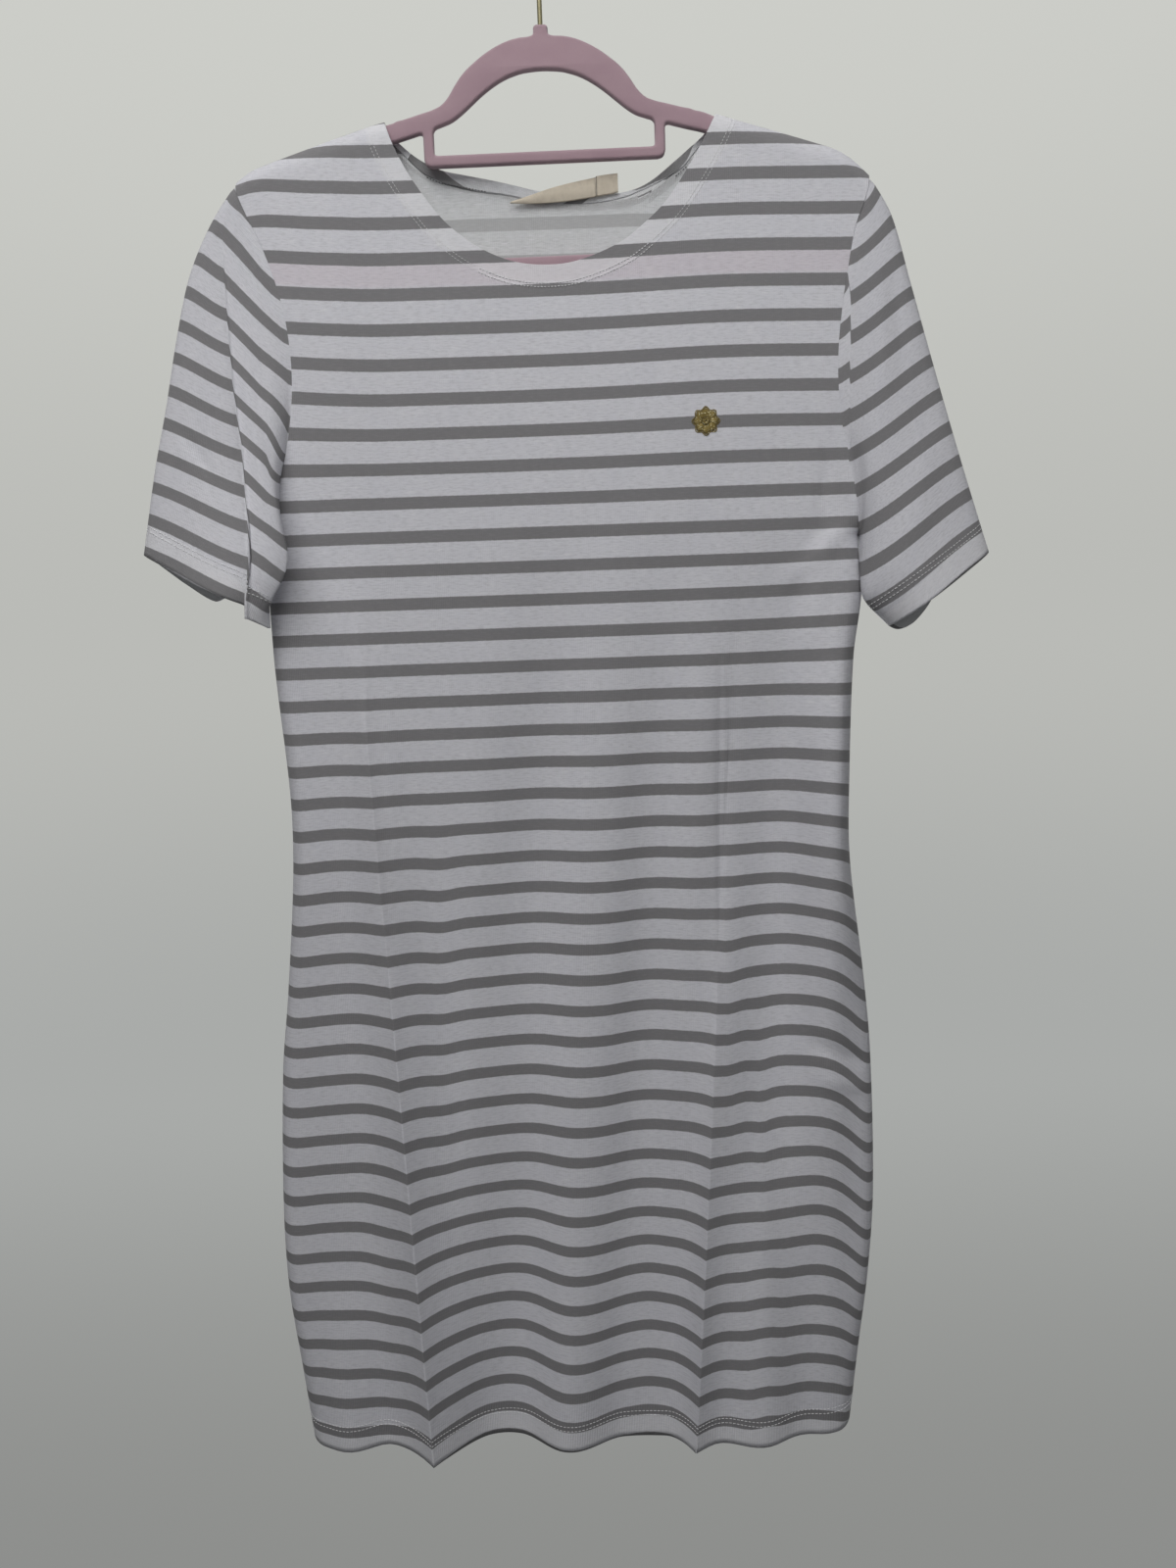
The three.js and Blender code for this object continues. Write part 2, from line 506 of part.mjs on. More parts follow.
function hangerGeometry() {
  const H = HANGER;
  const arm = [105, 112, 124, 140, 156, 172, 184, 193].map((x) => [x, shoulderZ(x) - (x < 132 ? 4.2 : 3)]);
  const outer = mirrored([
    [0.01, -80.5], [14, -80.9], [26, -83.2], [38, -89], [48, -97.5], [56, -107], [61.5, -114], [66, -118.6],
    [72, -121.6], [90, -127], [99, -130.8], ...arm, [199.5, -165.5], [H.tipX, -171], [H.tipX, -205],
    ...roundCorner(H.tipX - 22, H.barBottom + 22, 22, 0, -Math.PI / 2, 5), [60, H.barBottom], [0.01, H.barBottom],
  ]);
  const arch = [
    [0.01, -99.8], [13, -100.6], [26, -104.4], [38, -111], [49, -120.2], [57, -127.4], [64, -131.4],
    ...roundCorner(H.postIn - 3, -138, 3, Math.PI / 2, 0, 2),
    ...roundCorner(H.postIn - 3, H.tieTop + 3, 3, 0, -Math.PI / 2, 2), [0.01, H.tieTop],
  ];
  const under = arm.filter(([x]) => x > 90 && x < 180).map(([x, z]) => [x, z - H.armHeight]);
  const lower = [
    [0.01, H.tieBottom],
    ...roundCorner(H.postOut - 5, H.tieBottom + 5, 5, -Math.PI / 2, 0, 3),
    ...roundCorner(H.postOut + 3, -141.5, 3, Math.PI, Math.PI / 2, 2),
    ...under, [183, -170.5], [189, -177], [H.tipX - 12, -186], [H.tipX - 12, -206],
    ...roundCorner(H.tipX - 22, H.barTop + 10, 10, 0, -Math.PI / 2, 3), [60, H.barTop], [0.01, H.barTop],
  ];
  const clean = (points) => points.filter(([x]) => Math.abs(x) > 0.02).map(([x, z]) => new THREE.Vector2(x, z));
  const shape = new THREE.Shape(clean(outer));
  for (const hole of [arch, lower]) shape.holes.push(new THREE.Path(clean(mirrored(hole)).reverse()));
  const body = new THREE.ExtrudeGeometry(shape, {
    depth: H.thickness - 2 * H.bevel, steps: 1, curveSegments: 4, bevelEnabled: true,
    bevelThickness: H.bevel, bevelSize: H.bevel, bevelOffset: -H.bevel, bevelSegments: 1,
  });
  body.translate(0, 0, -(H.thickness / 2 - H.bevel));
  body.rotateX(Math.PI / 2);
  const profile = [
    [0, NUB.bottomZ], [3.4, NUB.bottomZ], [4.6, -86], [NUB.radius + 0.6, -80], [NUB.radius, -77],
    [NUB.radius, NUB.topZ - 1], [NUB.radius - 1, NUB.topZ], [0, NUB.topZ],
  ].map(([r, z]) => new THREE.Vector2(r, z));
  const nub = new THREE.LatheGeometry(profile, 20);
  nub.rotateX(Math.PI / 2);
  const drill = new THREE.CylinderGeometry(WIRE.hole / 2, WIRE.hole / 2, 40, 16);
  drill.rotateX(Math.PI / 2);
  drill.translate(0, 0, WIRE.holeZ + 20);
  const solid = toManifold(solidGeometry(body)).add(toManifold(solidGeometry(nub)));
  return fromManifold(solid.subtract(toManifold(solidGeometry(drill))));
}

/** The wire: up from the hanger, over to one side and round in an open loop. */
function hookGeometry() {
  const centreZ = WIRE.diameter / 2 - WIRE.loopRadius;
  const points = [[0, WIRE.bottomZ], [0, -72], [0, WIRE.bendZ], [4, -49.5], [12.5, -41.5]];
  for (let degrees = -28; degrees <= 212; degrees += 20) {
    const angle = THREE.MathUtils.degToRad(degrees);
    points.push([WIRE.loopRadius * Math.cos(angle), centreZ + WIRE.loopRadius * Math.sin(angle)]);
  }
  const path = new THREE.CatmullRomCurve3(points.map(([x, z]) => new THREE.Vector3(x, 0, z)), false, 'centripetal');
  const section = new THREE.Shape();
  section.absarc(0, 0, WIRE.diameter / 2, 0, 2 * Math.PI, false);
  const geometry = new THREE.ExtrudeGeometry(section, { steps: 34, extrudePath: path, curveSegments: 5, bevelEnabled: false });
  return solidGeometry(geometry);
}

// ---------------------------------------------------------------- the object
const material = (color, roughness, metalness = 0) => new THREE.MeshStandardMaterial({ color, roughness, metalness });
const jersey = material(0xb4b4b8, 0.9);
const band = material(0xb9bac0, 0.9);
const flock = material(0x9a818a, 1);
const brass = material(0x94916f, 0.35, 1);
const ribbon = material(0xb5aa98, 0.8);
const gold = material(0xa8893a, 0.5, 0.4);

const dress = new THREE.Group();

function addPiece(name, geometry, finish) {
  const mesh = new THREE.Mesh(geometry, finish);
  mesh.name = name;
  dress.add(mesh);
}

addPiece('front_panel', wall(front.grid, frontNormals, CLOTH), jersey);
addPiece('back_panel', wall(back.grid, backNormals, CLOTH), jersey.clone());
addPiece('right_sleeve', sleeve(RIGHT_SLEEVE, -1), jersey.clone());
addPiece('left_sleeve', sleeve(LEFT_SLEEVE, 1), jersey.clone());
addPiece('front_neck_facing', neckBand(-1, FRONT_NECK, 26), band);
addPiece('back_neck_facing', neckBand(1, BACK_NECK, 22), band.clone());
addPiece('neck_label', plate([
  [LABEL.leftX, LABEL.leftZ], [LABEL.leftX + 28, LABEL.lowZ - 1.6], [LABEL.rightX, LABEL.lowZ],
  [LABEL.rightX, LABEL.topZ], [LABEL.leftX + 22, LABEL.leftZ + 7],
], LABEL.y, LABEL.thickness), ribbon);
addPiece('size_tab', plate([
  [TAB.leftX, TAB.lowZ], [TAB.rightX, TAB.lowZ], [TAB.rightX, TAB.topZ], [TAB.leftX, TAB.topZ],
], LABEL.y, TAB.thickness), ribbon.clone());
addPiece('emblem', ornament(), gold);
addPiece('hanger', hangerGeometry(), flock);
addPiece('hook', hookGeometry(), brass);

export default dress;
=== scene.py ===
"""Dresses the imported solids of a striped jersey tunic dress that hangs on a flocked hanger.

Cloth sizes are in millimetres, as a pattern cutter gives them, and every mesh is in metres.
The origin is the point of the hook that a rail bears on. The front of the dress faces -Y,
and +X is the wearer's left.
"""

import logging
import math
from dataclasses import dataclass, field
from enum import Enum
from typing import Sequence

import bpy
import numpy as np
from mathutils import Matrix, Vector


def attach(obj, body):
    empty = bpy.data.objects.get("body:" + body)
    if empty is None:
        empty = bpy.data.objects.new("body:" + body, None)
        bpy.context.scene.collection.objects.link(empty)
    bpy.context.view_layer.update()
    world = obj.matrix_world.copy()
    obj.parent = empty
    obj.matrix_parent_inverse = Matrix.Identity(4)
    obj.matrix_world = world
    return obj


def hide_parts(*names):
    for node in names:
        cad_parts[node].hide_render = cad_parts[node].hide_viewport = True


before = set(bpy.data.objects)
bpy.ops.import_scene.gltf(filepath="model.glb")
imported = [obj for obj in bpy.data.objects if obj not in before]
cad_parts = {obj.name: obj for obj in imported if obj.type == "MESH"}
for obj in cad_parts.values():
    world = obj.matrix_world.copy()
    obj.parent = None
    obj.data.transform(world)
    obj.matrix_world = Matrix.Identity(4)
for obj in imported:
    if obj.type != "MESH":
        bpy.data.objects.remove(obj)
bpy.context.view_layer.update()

LOG = logging.getLogger("tunic_dress")
MM = 0.001

# The cloth: its thickness, how much thicker a turned edge is, and half the gap at a seam.
JERSEY = 0.9
TURNED_PLY = 1.6
SEAM = 0.15

# Heights of the underarm and of the hem, how far above the underarm the armhole is fully
# open, and how far the side and shoulder folds turn in.
UNDERARM_Z = -412.0
ARM_OPENING = 46.0
HEM_MIDDLE = -1088.0
HEM_SIDE = -1084.0
SIDE_ROUND = 13.0
TOP_ROUND = 13.0

# Across: the shoulder tips, half the chest, the neck, and the shares of the half width at
# which the neck corner and the wearer's right crease lie.
TIP_RIGHT = -208.0
TIP_LEFT = 217.5
HALF_CHEST = 207.0
NECK_CENTRE = 4.5
NECK_HALF = 111.0
CORNER = 0.51
CREASE_RIGHT = 0.64

# The stripes: from one to the next, their width, and the height of stripe 0 on the panels.
STRIPE_PITCH = 22.92
STRIPE_WIDTH = 8.3
STRIPE_ZERO = -243.5

# What a finish reads from a sheet: its grain, where the cloth is doubled, which on the
# label tape marks painted shadow instead, and the stripes of the edge that is turned under.
GRAIN = "grain"
DOUBLED = "doubled"
TURNED = "turned"

Colour = tuple[float, float, float, float]
Outline = list[tuple[float, float, bool]]
Socket = bpy.types.NodeSocket


class Side(Enum):
    """The two panels of the body, by the way that they face along Y."""

    FRONT = -1
    BACK = 1


class Hand(Enum):
    """The wearer's two arms, by the way that they lie along X."""

    RIGHT = -1
    LEFT = 1


# ------------------------------------------------------------------ small sums


def lerp(start: np.ndarray, end: np.ndarray, share: np.ndarray) -> np.ndarray:
    """Returns the value a share of the way from start to end."""
    return start + (end - start) * share


def smoothstep(value: np.ndarray, low: float, high: float) -> np.ndarray:
    """Returns 0 below low and 1 above high, with a soft ramp between them."""
    share = np.clip((np.asarray(value, float) - low) / (high - low), 0, 1)
    return share * share * (3 - 2 * share)


def knee(share: np.ndarray, at: float, to: np.ndarray) -> np.ndarray:
    """Bends a run of shares so that the one at a given place comes to lie at another."""
    return np.where(share < at, share / at * to, to + (share - at) / (1 - at) * (1 - to))


def rounded(distance: np.ndarray, radius: float) -> np.ndarray:
    """Returns 0 at an edge and 1 from a radius inward, as a quarter circle rises."""
    share = 1 - np.clip(np.asarray(distance, float) / radius, 0, 1)
    return np.sqrt(np.maximum(0, 1 - share * share))


def linear(red: int, green: int, blue: int) -> Colour:
    """Turns a display colour from 0 to 255 into the linear one that a shader takes.

    Args:
        red: The red part.
        green: The green part.
        blue: The blue part.

    Returns:
        The linear red, green and blue, and an alpha of 1.
    """
    parts = [value / 255 for value in (red, green, blue)]
    parts = [p / 12.92 if p <= 0.04045 else ((p + 0.055) / 1.055) ** 2.4 for p in parts]
    return (*parts, 1.0)


def shade(colour: Colour, share: float) -> Colour:
    """Returns a colour made darker or lighter by a share."""
    return (*(part * share for part in colour[:3]), 1.0)


class Table:
    """Rows of sizes under named columns, read as smooth curves."""

    def __init__(self, columns: str, rows: Sequence[Sequence[float]]) -> None:
        """Keeps the rows, sorted by their first column.

        Args:
            columns: The names of the columns, parted by spaces.
            rows: The sizes, one row per point.
        """
        self.columns = columns.split()
        self.rows = np.array(sorted(rows), float)

    def at(self, column: str, value: np.ndarray) -> np.ndarray:
        """Reads one column along a smooth curve through its points.

        Args:
            column: The column's name.
            value: Where to read it, in the units of the first column.

        Returns:
            The sizes there, with those at the ends held beyond them.
        """
        keys = self.rows[:, 0]
        sizes = self.rows[:, self.columns.index(column)]
        slopes = np.empty_like(sizes)
        slopes[1:-1] = (sizes[2:] - sizes[:-2]) / (keys[2:] - keys[:-2])
        slopes[0] = (sizes[1] - sizes[0]) / (keys[1] - keys[0])
        slopes[-1] = (sizes[-1] - sizes[-2]) / (keys[-1] - keys[-2])
        value = np.asarray(value, float)
        i = np.clip(np.searchsorted(keys, value) - 1, 0, len(keys) - 2)
        width = keys[i + 1] - keys[i]
        u = np.clip((value - keys[i]) / width, 0, 1)
        rise = (2 * u**3 - 3 * u**2 + 1) * sizes[i] + (3 * u**2 - 2 * u**3) * sizes[i + 1]
        bend = (u**3 - 2 * u**2 + u) * slopes[i] + (u**3 - u**2) * slopes[i + 1]
        return rise + bend * width


# ------------------------------------------------------------------ the cut of the dress

SHOULDER = Table(
    "x z",
    [
        (0, -130), (104, -130.2), (113, -131.8), (129, -136.6), (155, -144.4), (183, -153),
        (197, -158), (207, -164.5), (218, -174.5),
    ],
)
ARMHOLE = Table(
    "z right left",
    [
        (-165, -208, 217.5), (-174, -207, 217.5), (-192, -200, 213.5), (-209, -192.5, 207),
        (-234, -184.5, 202), (-258, -179.5, 198), (-285, -177.5, 195), (-308, -178.5, 194.5),
        (-335, -183, 196.5), (-360, -190, 202), (-386, -197, 206.5), (-412, -206.5, 209.5),
    ],
)
BODY = Table(
    "z right left front back",
    [
        (-132, -208, 217, 9.5, 9.5), (-225, -210, 215, 10.5, 10), (-300, -207, 211, 12, 11),
        (-412, -206.5, 209.5, 13, 12), (-450, -206.3, 212.5, 13, 12), (-497, -205.5, 206.5, 13, 12),
        (-583, -201, 203, 13, 12), (-640, -203, 203, 13, 12), (-730, -213, 213, 12.5, 13),
        (-790, -221, 218, 13.5, 14), (-899, -228, 220, 16, 15), (-963, -228, 216, 17.5, 16),
        (-1028, -222, 208, 18.5, 17), (-1088, -216.5, 201, 19, 18),
    ],
)

# The chest, waist, hips, thighs and hem, where the height of each fold is stated, and how far
# above the waist, as a share of the skirt, a fold goes on moving aside.
FOLD_LEVELS = (-400.0, -610.0, -790.0, -930.0, -1070.0)
WAIST_Z = FOLD_LEVELS[1]
HEM_Z = FOLD_LEVELS[-1]
ABOVE_WAIST = -0.3


def fold_share(z: np.ndarray) -> np.ndarray:
    """Returns how far down a fold's crest has moved from the waist's place to the hem's."""
    return np.maximum(ABOVE_WAIST, (z - WAIST_Z) / (HEM_Z - WAIST_Z))


@dataclass(frozen=True)
class Fold:
    """One lengthwise fold: a soft roll, a hollow or a pressed crease."""

    waist_x: float
    hem_x: float
    heights: tuple[float, float, float, float, float]
    right: float
    left: float
    sharp: bool = False

    def crest(self, z: np.ndarray) -> np.ndarray:
        """Returns the x of the fold's crest at a height."""
        return lerp(self.waist_x, self.hem_x, fold_share(z))

    def lift(self, x: np.ndarray, z: np.ndarray) -> np.ndarray:
        """Works out how far the fold moves the cloth outward.

        Args:
            x: Places across the dress.
            z: Heights.

        Returns:
            The distances in millimetres.
        """
        crest = self.crest(z)
        height = Table("z height", list(zip(FOLD_LEVELS, self.heights))).at("height", z)
        reach = np.where(x < crest, (crest - x) / self.right, (x - crest) / self.left)
        u = np.clip(reach, 0, 1)
        return height * ((1 - u) ** 2 if self.sharp else np.cos(np.pi * u / 2) ** 2)


@dataclass(frozen=True)
class Wrinkle:
    """One short crease from one place to another, raised or sunk, that fades at both ends."""

    start: tuple[float, float]
    end: tuple[float, float]
    height: float
    width: float
    bow: float = 0.0
    fading: float = 0.3

    def lift(self, x: np.ndarray, z: np.ndarray) -> np.ndarray:
        """Works out how far the wrinkle moves the cloth outward.

        Args:
            x: Places across the cloth.
            z: Heights, or places along the cloth.

        Returns:
            The distances in millimetres.
        """
        run = np.array(self.end, float) - np.array(self.start, float)
        length = float(np.hypot(*run))
        ahead = ((x - self.start[0]) * run[0] + (z - self.start[1]) * run[1]) / length**2
        aside = ((z - self.start[1]) * run[0] - (x - self.start[0]) * run[1]) / length
        share = np.clip(ahead, 0, 1)
        aside = aside - self.bow * 4 * share * (1 - share)
        fade = smoothstep(ahead, 0, self.fading) * (1 - smoothstep(ahead, 1 - self.fading, 1))
        return self.height * np.exp(-((aside / self.width) ** 2)) * fade


@dataclass(frozen=True)
class NeckLine:
    """The neck edge of one panel, and how wide the cloth is doubled along it."""

    edge: Table
    band: float

    def z(self, x: np.ndarray) -> np.ndarray:
        """Returns the height of the neck edge at x."""
        return self.edge.at("z", x)

    def path(self, steps: int) -> np.ndarray:
        """Places points along the edge, close together at its steep ends.

        Args:
            steps: The number of spaces between points.

        Returns:
            An array of x, z and the direction away from the opening, two numbers.
        """
        near = 0.3
        x = NECK_CENTRE + NECK_HALF * np.sin(np.linspace(-math.pi / 2, math.pi / 2, steps + 1))
        rise = self.z(x + near) - self.z(x - near)
        away = np.stack([rise, np.full_like(rise, -2 * near)], axis=1)
        away /= np.linalg.norm(away, axis=1, keepdims=True)
        away[0] = (-1, 0)
        away[-1] = (1, 0)
        return np.column_stack([x, self.z(x), away])


FRONT_NECK = NeckLine(
    Table(
        "x z",
        [
            (-106.5, -131), (-101, -147), (-91, -167), (-72, -193.8), (-57, -207.5), (-42, -217),
            (-22, -224.6), (0, -227), (20, -224.8), (48, -214.5), (64, -203.5), (80, -189),
            (95, -168.5), (107, -149), (115.5, -132.6),
        ],
    ),
    band=14,
)
BACK_NECK = NeckLine(
    Table(
        "x z",
        [
            (-106.5, -131), (-99, -140), (-87, -150.2), (-72, -158), (-57, -161.6), (-32, -167),
            (-4, -173.8), (22, -177), (46, -177), (61, -174.6), (73, -168.9), (89, -156.9),
            (97, -150.6), (107, -142.5), (115.5, -132.6),
        ],
    ),
    band=7.6,
)


# ------------------------------------------------------------------ meshes from grids


@dataclass
class Sheet:
    """A grid of cloth points with what its finish reads: one row is a level line."""

    points: np.ndarray
    grain: np.ndarray
    doubled: np.ndarray
    closed: bool = False

    def faces(self) -> tuple[np.ndarray, np.ndarray]:
        """Joins the points by four-sided faces.

        Returns:
            The corners of each face, and the corners of the same faces in the grain grid,
            which has one column more on a closed sheet.
        """
        rows, columns = self.points.shape[:2]
        wide = self.grain.shape[1]
        across = columns if self.closed else columns - 1
        i, j = np.meshgrid(np.arange(rows - 1), np.arange(across), indexing="ij")
        i, j = i.ravel(), j.ravel()
        ahead = (j + 1) % columns
        corners = [i * columns + j, (i + 1) * columns + j, (i + 1) * columns + ahead, i * columns + ahead]
        woven = [i * wide + j, (i + 1) * wide + j, (i + 1) * wide + j + 1, i * wide + j + 1]
        return np.stack(corners, axis=1), np.stack(woven, axis=1)

    def normals(self) -> np.ndarray:
        """Works out the unit normal at each point.

        Returns:
            An array of the same shape as the points.
        """
        down = np.gradient(self.points, axis=0)
        if self.closed:
            across = np.roll(self.points, -1, axis=1) - np.roll(self.points, 1, axis=1)
        else:
            across = np.gradient(self.points, axis=1)
        found = np.cross(down, across)
        return found / np.maximum(np.linalg.norm(found, axis=2, keepdims=True), 1e-9)

    def from_axis(self) -> np.ndarray:
        """Returns the way from the middle of each row to its points, which is outward on a tube."""
        return self.points - self.points.mean(axis=1, keepdims=True)

    def facing(self, outward: np.ndarray) -> np.ndarray:
        """Returns the unit normals, turned to the side that outward points to."""
        found = self.normals()
        return -found if float(np.sum(found * outward)) < 0 else found

    def build(self, name: str, outward: np.ndarray, *finishes: bpy.types.Material) -> bpy.types.Object:
        """Makes the mesh object.

        Args:
            name: The piece's name.
            outward: A direction for each point, or one for all, that its outside faces.
            *finishes: The materials, the outer one first.

        Returns:
            The new object, one layer thick, in metres.
        """
        corners, woven = self.faces()
        if float(np.sum(self.normals() * outward)) < 0:
            corners, woven = corners[:, ::-1], woven[:, ::-1]
        mesh = bpy.data.meshes.new(name)
        mesh.from_pydata((self.points.reshape(-1, 3) * MM).tolist(), [], corners.tolist())
        layer = mesh.uv_layers.new(name=GRAIN)
        layer.data.foreach_set("uv", self.grain.reshape(-1, 2)[woven].ravel().astype(np.float32))
        worn = mesh.attributes.new(DOUBLED, "FLOAT", "POINT")
        worn.data.foreach_set("value", self.doubled.ravel().astype(np.float32))
        along = self.grain[:, : self.points.shape[1], 1]
        turned = mesh.attributes.new(TURNED, "FLOAT", "POINT")
        turned.data.foreach_set("value", (2 * along[-1:] - along).ravel().astype(np.float32))
        return add_mesh(name, mesh, *finishes)


def add_object(name: str, data: bpy.types.ID) -> bpy.types.Object:
    """Makes an object of a mesh, a curve, a light or a camera, and links it to the scene."""
    made = bpy.data.objects.new(name, data)
    bpy.context.scene.collection.objects.link(made)
    return made


def add_mesh(name: str, mesh: bpy.types.Mesh, *finishes: bpy.types.Material) -> bpy.types.Object:
    """Makes a smooth-shaded object of a mesh.

    Args:
        name: The piece's name.
        mesh: Its mesh.
        *finishes: The materials, the outer one first.

    Returns:
        The new object.
    """
    mesh.polygons.foreach_set("use_smooth", [True] * len(mesh.polygons))
    for finish in finishes:
        mesh.materials.append(finish)
    return add_object(name, mesh)


def select_none() -> None:
    """Deselects every object, as a new primitive needs."""
    bpy.ops.object.select_all(action="DESELECT")


def select_only(piece: bpy.types.Object) -> None:
    """Makes one object the selected and active one, and deselects all others."""
    select_none()
    piece.select_set(True)
    bpy.context.view_layer.objects.active = piece


def merge_doubles(piece: bpy.types.Object) -> None:
    """Merges the points of a piece that lie on each other, and turns its faces outward."""
    select_only(piece)
    bpy.ops.object.mode_set(mode="EDIT")
    bpy.ops.mesh.select_all(action="SELECT")
    bpy.ops.mesh.remove_doubles(threshold=1e-6)
    bpy.ops.mesh.normals_make_consistent(inside=False)
    bpy.ops.object.mode_set(mode="OBJECT")


def apply_modifier(piece: bpy.types.Object, kind: str, **settings: object) -> None:
    """Adds a modifier to a piece and applies it.

    Args:
        piece: The object.
        kind: The modifier's type.
        **settings: The modifier's settings by name.
    """
    modifier = piece.modifiers.new(kind.title(), kind)
    for key, value in settings.items():
        setattr(modifier, key, value)
    select_only(piece)
    bpy.ops.object.modifier_apply(modifier=modifier.name)


def thicken(piece: bpy.types.Object, thickness: float, folded: float = 1.0) -> None:
    """Gives a sheet its thickness, inward from its outer face.

    Args:
        piece: The sheet.
        thickness: The cloth's thickness in millimetres.
        folded: How many times thicker the cloth is where it is doubled.
    """
    mesh = piece.data
    group = piece.vertex_groups.new(name=DOUBLED)
    shares = np.empty(len(mesh.vertices), np.float32)
    mesh.attributes[DOUBLED].data.foreach_get("value", shares)
    for share in np.unique(np.round(shares, 2)):
        members = np.nonzero(np.round(shares, 2) == share)[0].tolist()
        group.add(members, float(share), "REPLACE")
    apply_modifier(
        piece,
        "SOLIDIFY",
        thickness=thickness * folded * MM,
        offset=-1.0,
        use_quality_normals=True,
        vertex_group=group.name,
        thickness_vertex_group=1 / folded,
        material_offset=1,
    )


def declare(piece: bpy.types.Object, node: str = "") -> None:
    """Sets a piece on the dress's one body and hides the solid that it stands for.

    Args:
        piece: The finished object.
        node: The solid's node, or nothing for sewing that is on other pieces.
    """
    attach(piece, "root")
    if node:
        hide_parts(node)
    LOG.info("%s: %d faces", piece.name, len(piece.data.polygons))


# ------------------------------------------------------------------ finishes


class Shader:
    """The node tree of one finish, built as sums on sockets."""

    def __init__(self, name: str) -> None:
        """Starts a material.

        Args:
            name: The material's name.
        """
        self.material = bpy.data.materials.new(name)
        self.material.use_nodes = True
        self.tree = self.material.node_tree
        self.surface = self.tree.nodes["Principled BSDF"]

    def node(self, kind: str, **settings: object) -> bpy.types.Node:
        """Adds a node with the given settings."""
        made = self.tree.nodes.new(kind)
        for key, value in settings.items():
            setattr(made, key, value)
        return made

    def feed(self, socket: Socket, value: object) -> None:
        """Links a socket to an input, or sets the input's own value."""
        if isinstance(value, Socket):
            self.tree.links.new(value, socket)
        else:
            socket.default_value = value

    def math(self, operation: str, *values: object) -> Socket:
        """Returns the result of one sum on sockets or numbers."""
        made = self.node("ShaderNodeMath", operation=operation)
        for socket, value in zip(made.inputs, values):
            self.feed(socket, value)
        return made.outputs[0]

    def ribs(self, value: object, pace: float) -> Socket:
        """Returns even ribs, each as round as half a wave, at a pace in radians to a unit."""
        return self.math("ABSOLUTE", self.math("SINE", self.math("MULTIPLY", value, pace)))

    def ramp(self, value: object, low: float, high: float) -> Socket:
        """Returns a soft ramp from 0 at low to 1 at high."""
        made = self.node("ShaderNodeMapRange", interpolation_type="SMOOTHSTEP")
        self.feed(made.inputs["Value"], value)
        made.inputs["From Min"].default_value = low
        made.inputs["From Max"].default_value = high
        return made.outputs["Result"]

    def mix(self, share: object, first: object, second: object) -> Socket:
        """Returns the mix of two colours."""
        made = self.node("ShaderNodeMix", data_type="RGBA")
        self.feed(made.inputs[0], share)
        self.feed(made.inputs[6], first)
        self.feed(made.inputs[7], second)
        return made.outputs[2]

    def tint(self, where: object, strength: float, first: object, second: object) -> Socket:
        """Returns the first colour, mixed with the second by a mask times a strength."""
        return self.mix(self.math("MULTIPLY", where, strength), first, second)

    def sheet_value(self, name: str) -> Socket:
        """Returns one of the values that a sheet keeps at its points."""
        return self.node("ShaderNodeAttribute", attribute_name=name).outputs["Fac"]

    def grain(self) -> tuple[Socket, Socket, Socket]:
        """Returns the piece's grain as a vector and as its across and along parts."""
        vector = self.node("ShaderNodeUVMap", uv_map=GRAIN).outputs["UV"]
        parts = self.node("ShaderNodeSeparateXYZ")
        self.feed(parts.inputs[0], vector)
        return vector, parts.outputs["X"], parts.outputs["Y"]

    def place(self) -> Socket:
        """Returns the point's own coordinates in metres."""
        return self.node("ShaderNodeTexCoord").outputs["Object"]

    def noise(
        self,
        vector: Socket,
        scale: tuple[float, float, float],
        detail: float = 2.0,
        roughness: float = 0.5,
    ) -> Socket:
        """Makes a noise from 0 to 1.

        Args:
            vector: The coordinates that it is read at.
            scale: How many specks there are to a unit along each axis.
            detail: The number of finer layers.
            roughness: How strong the finer layers are.

        Returns:
            The noise's value.
        """
        mapping = self.node("ShaderNodeMapping")
        self.feed(mapping.inputs["Vector"], vector)
        mapping.inputs["Scale"].default_value = scale
        made = self.node("ShaderNodeTexNoise")
        self.feed(made.inputs["Vector"], mapping.outputs["Vector"])
        made.inputs["Scale"].default_value = 1.0
        made.inputs["Detail"].default_value = detail
        made.inputs["Roughness"].default_value = roughness
        return made.outputs["Fac"]

    def bump(self, height: Socket, depth: float, strength: float = 1.0) -> None:
        """Raises the surface by a height from 0 to 1, times a depth in metres."""
        made = self.node("ShaderNodeBump")
        made.inputs["Strength"].default_value = strength
        made.inputs["Distance"].default_value = depth
        self.feed(made.inputs["Height"], height)
        self.feed(self.surface.inputs["Normal"], made.outputs["Normal"])

    def set(self, **sockets: object) -> None:
        """Sets inputs of the surface, named with underscores for spaces."""
        for key, value in sockets.items():
            self.feed(self.surface.inputs[key.replace("_", " ")], value)


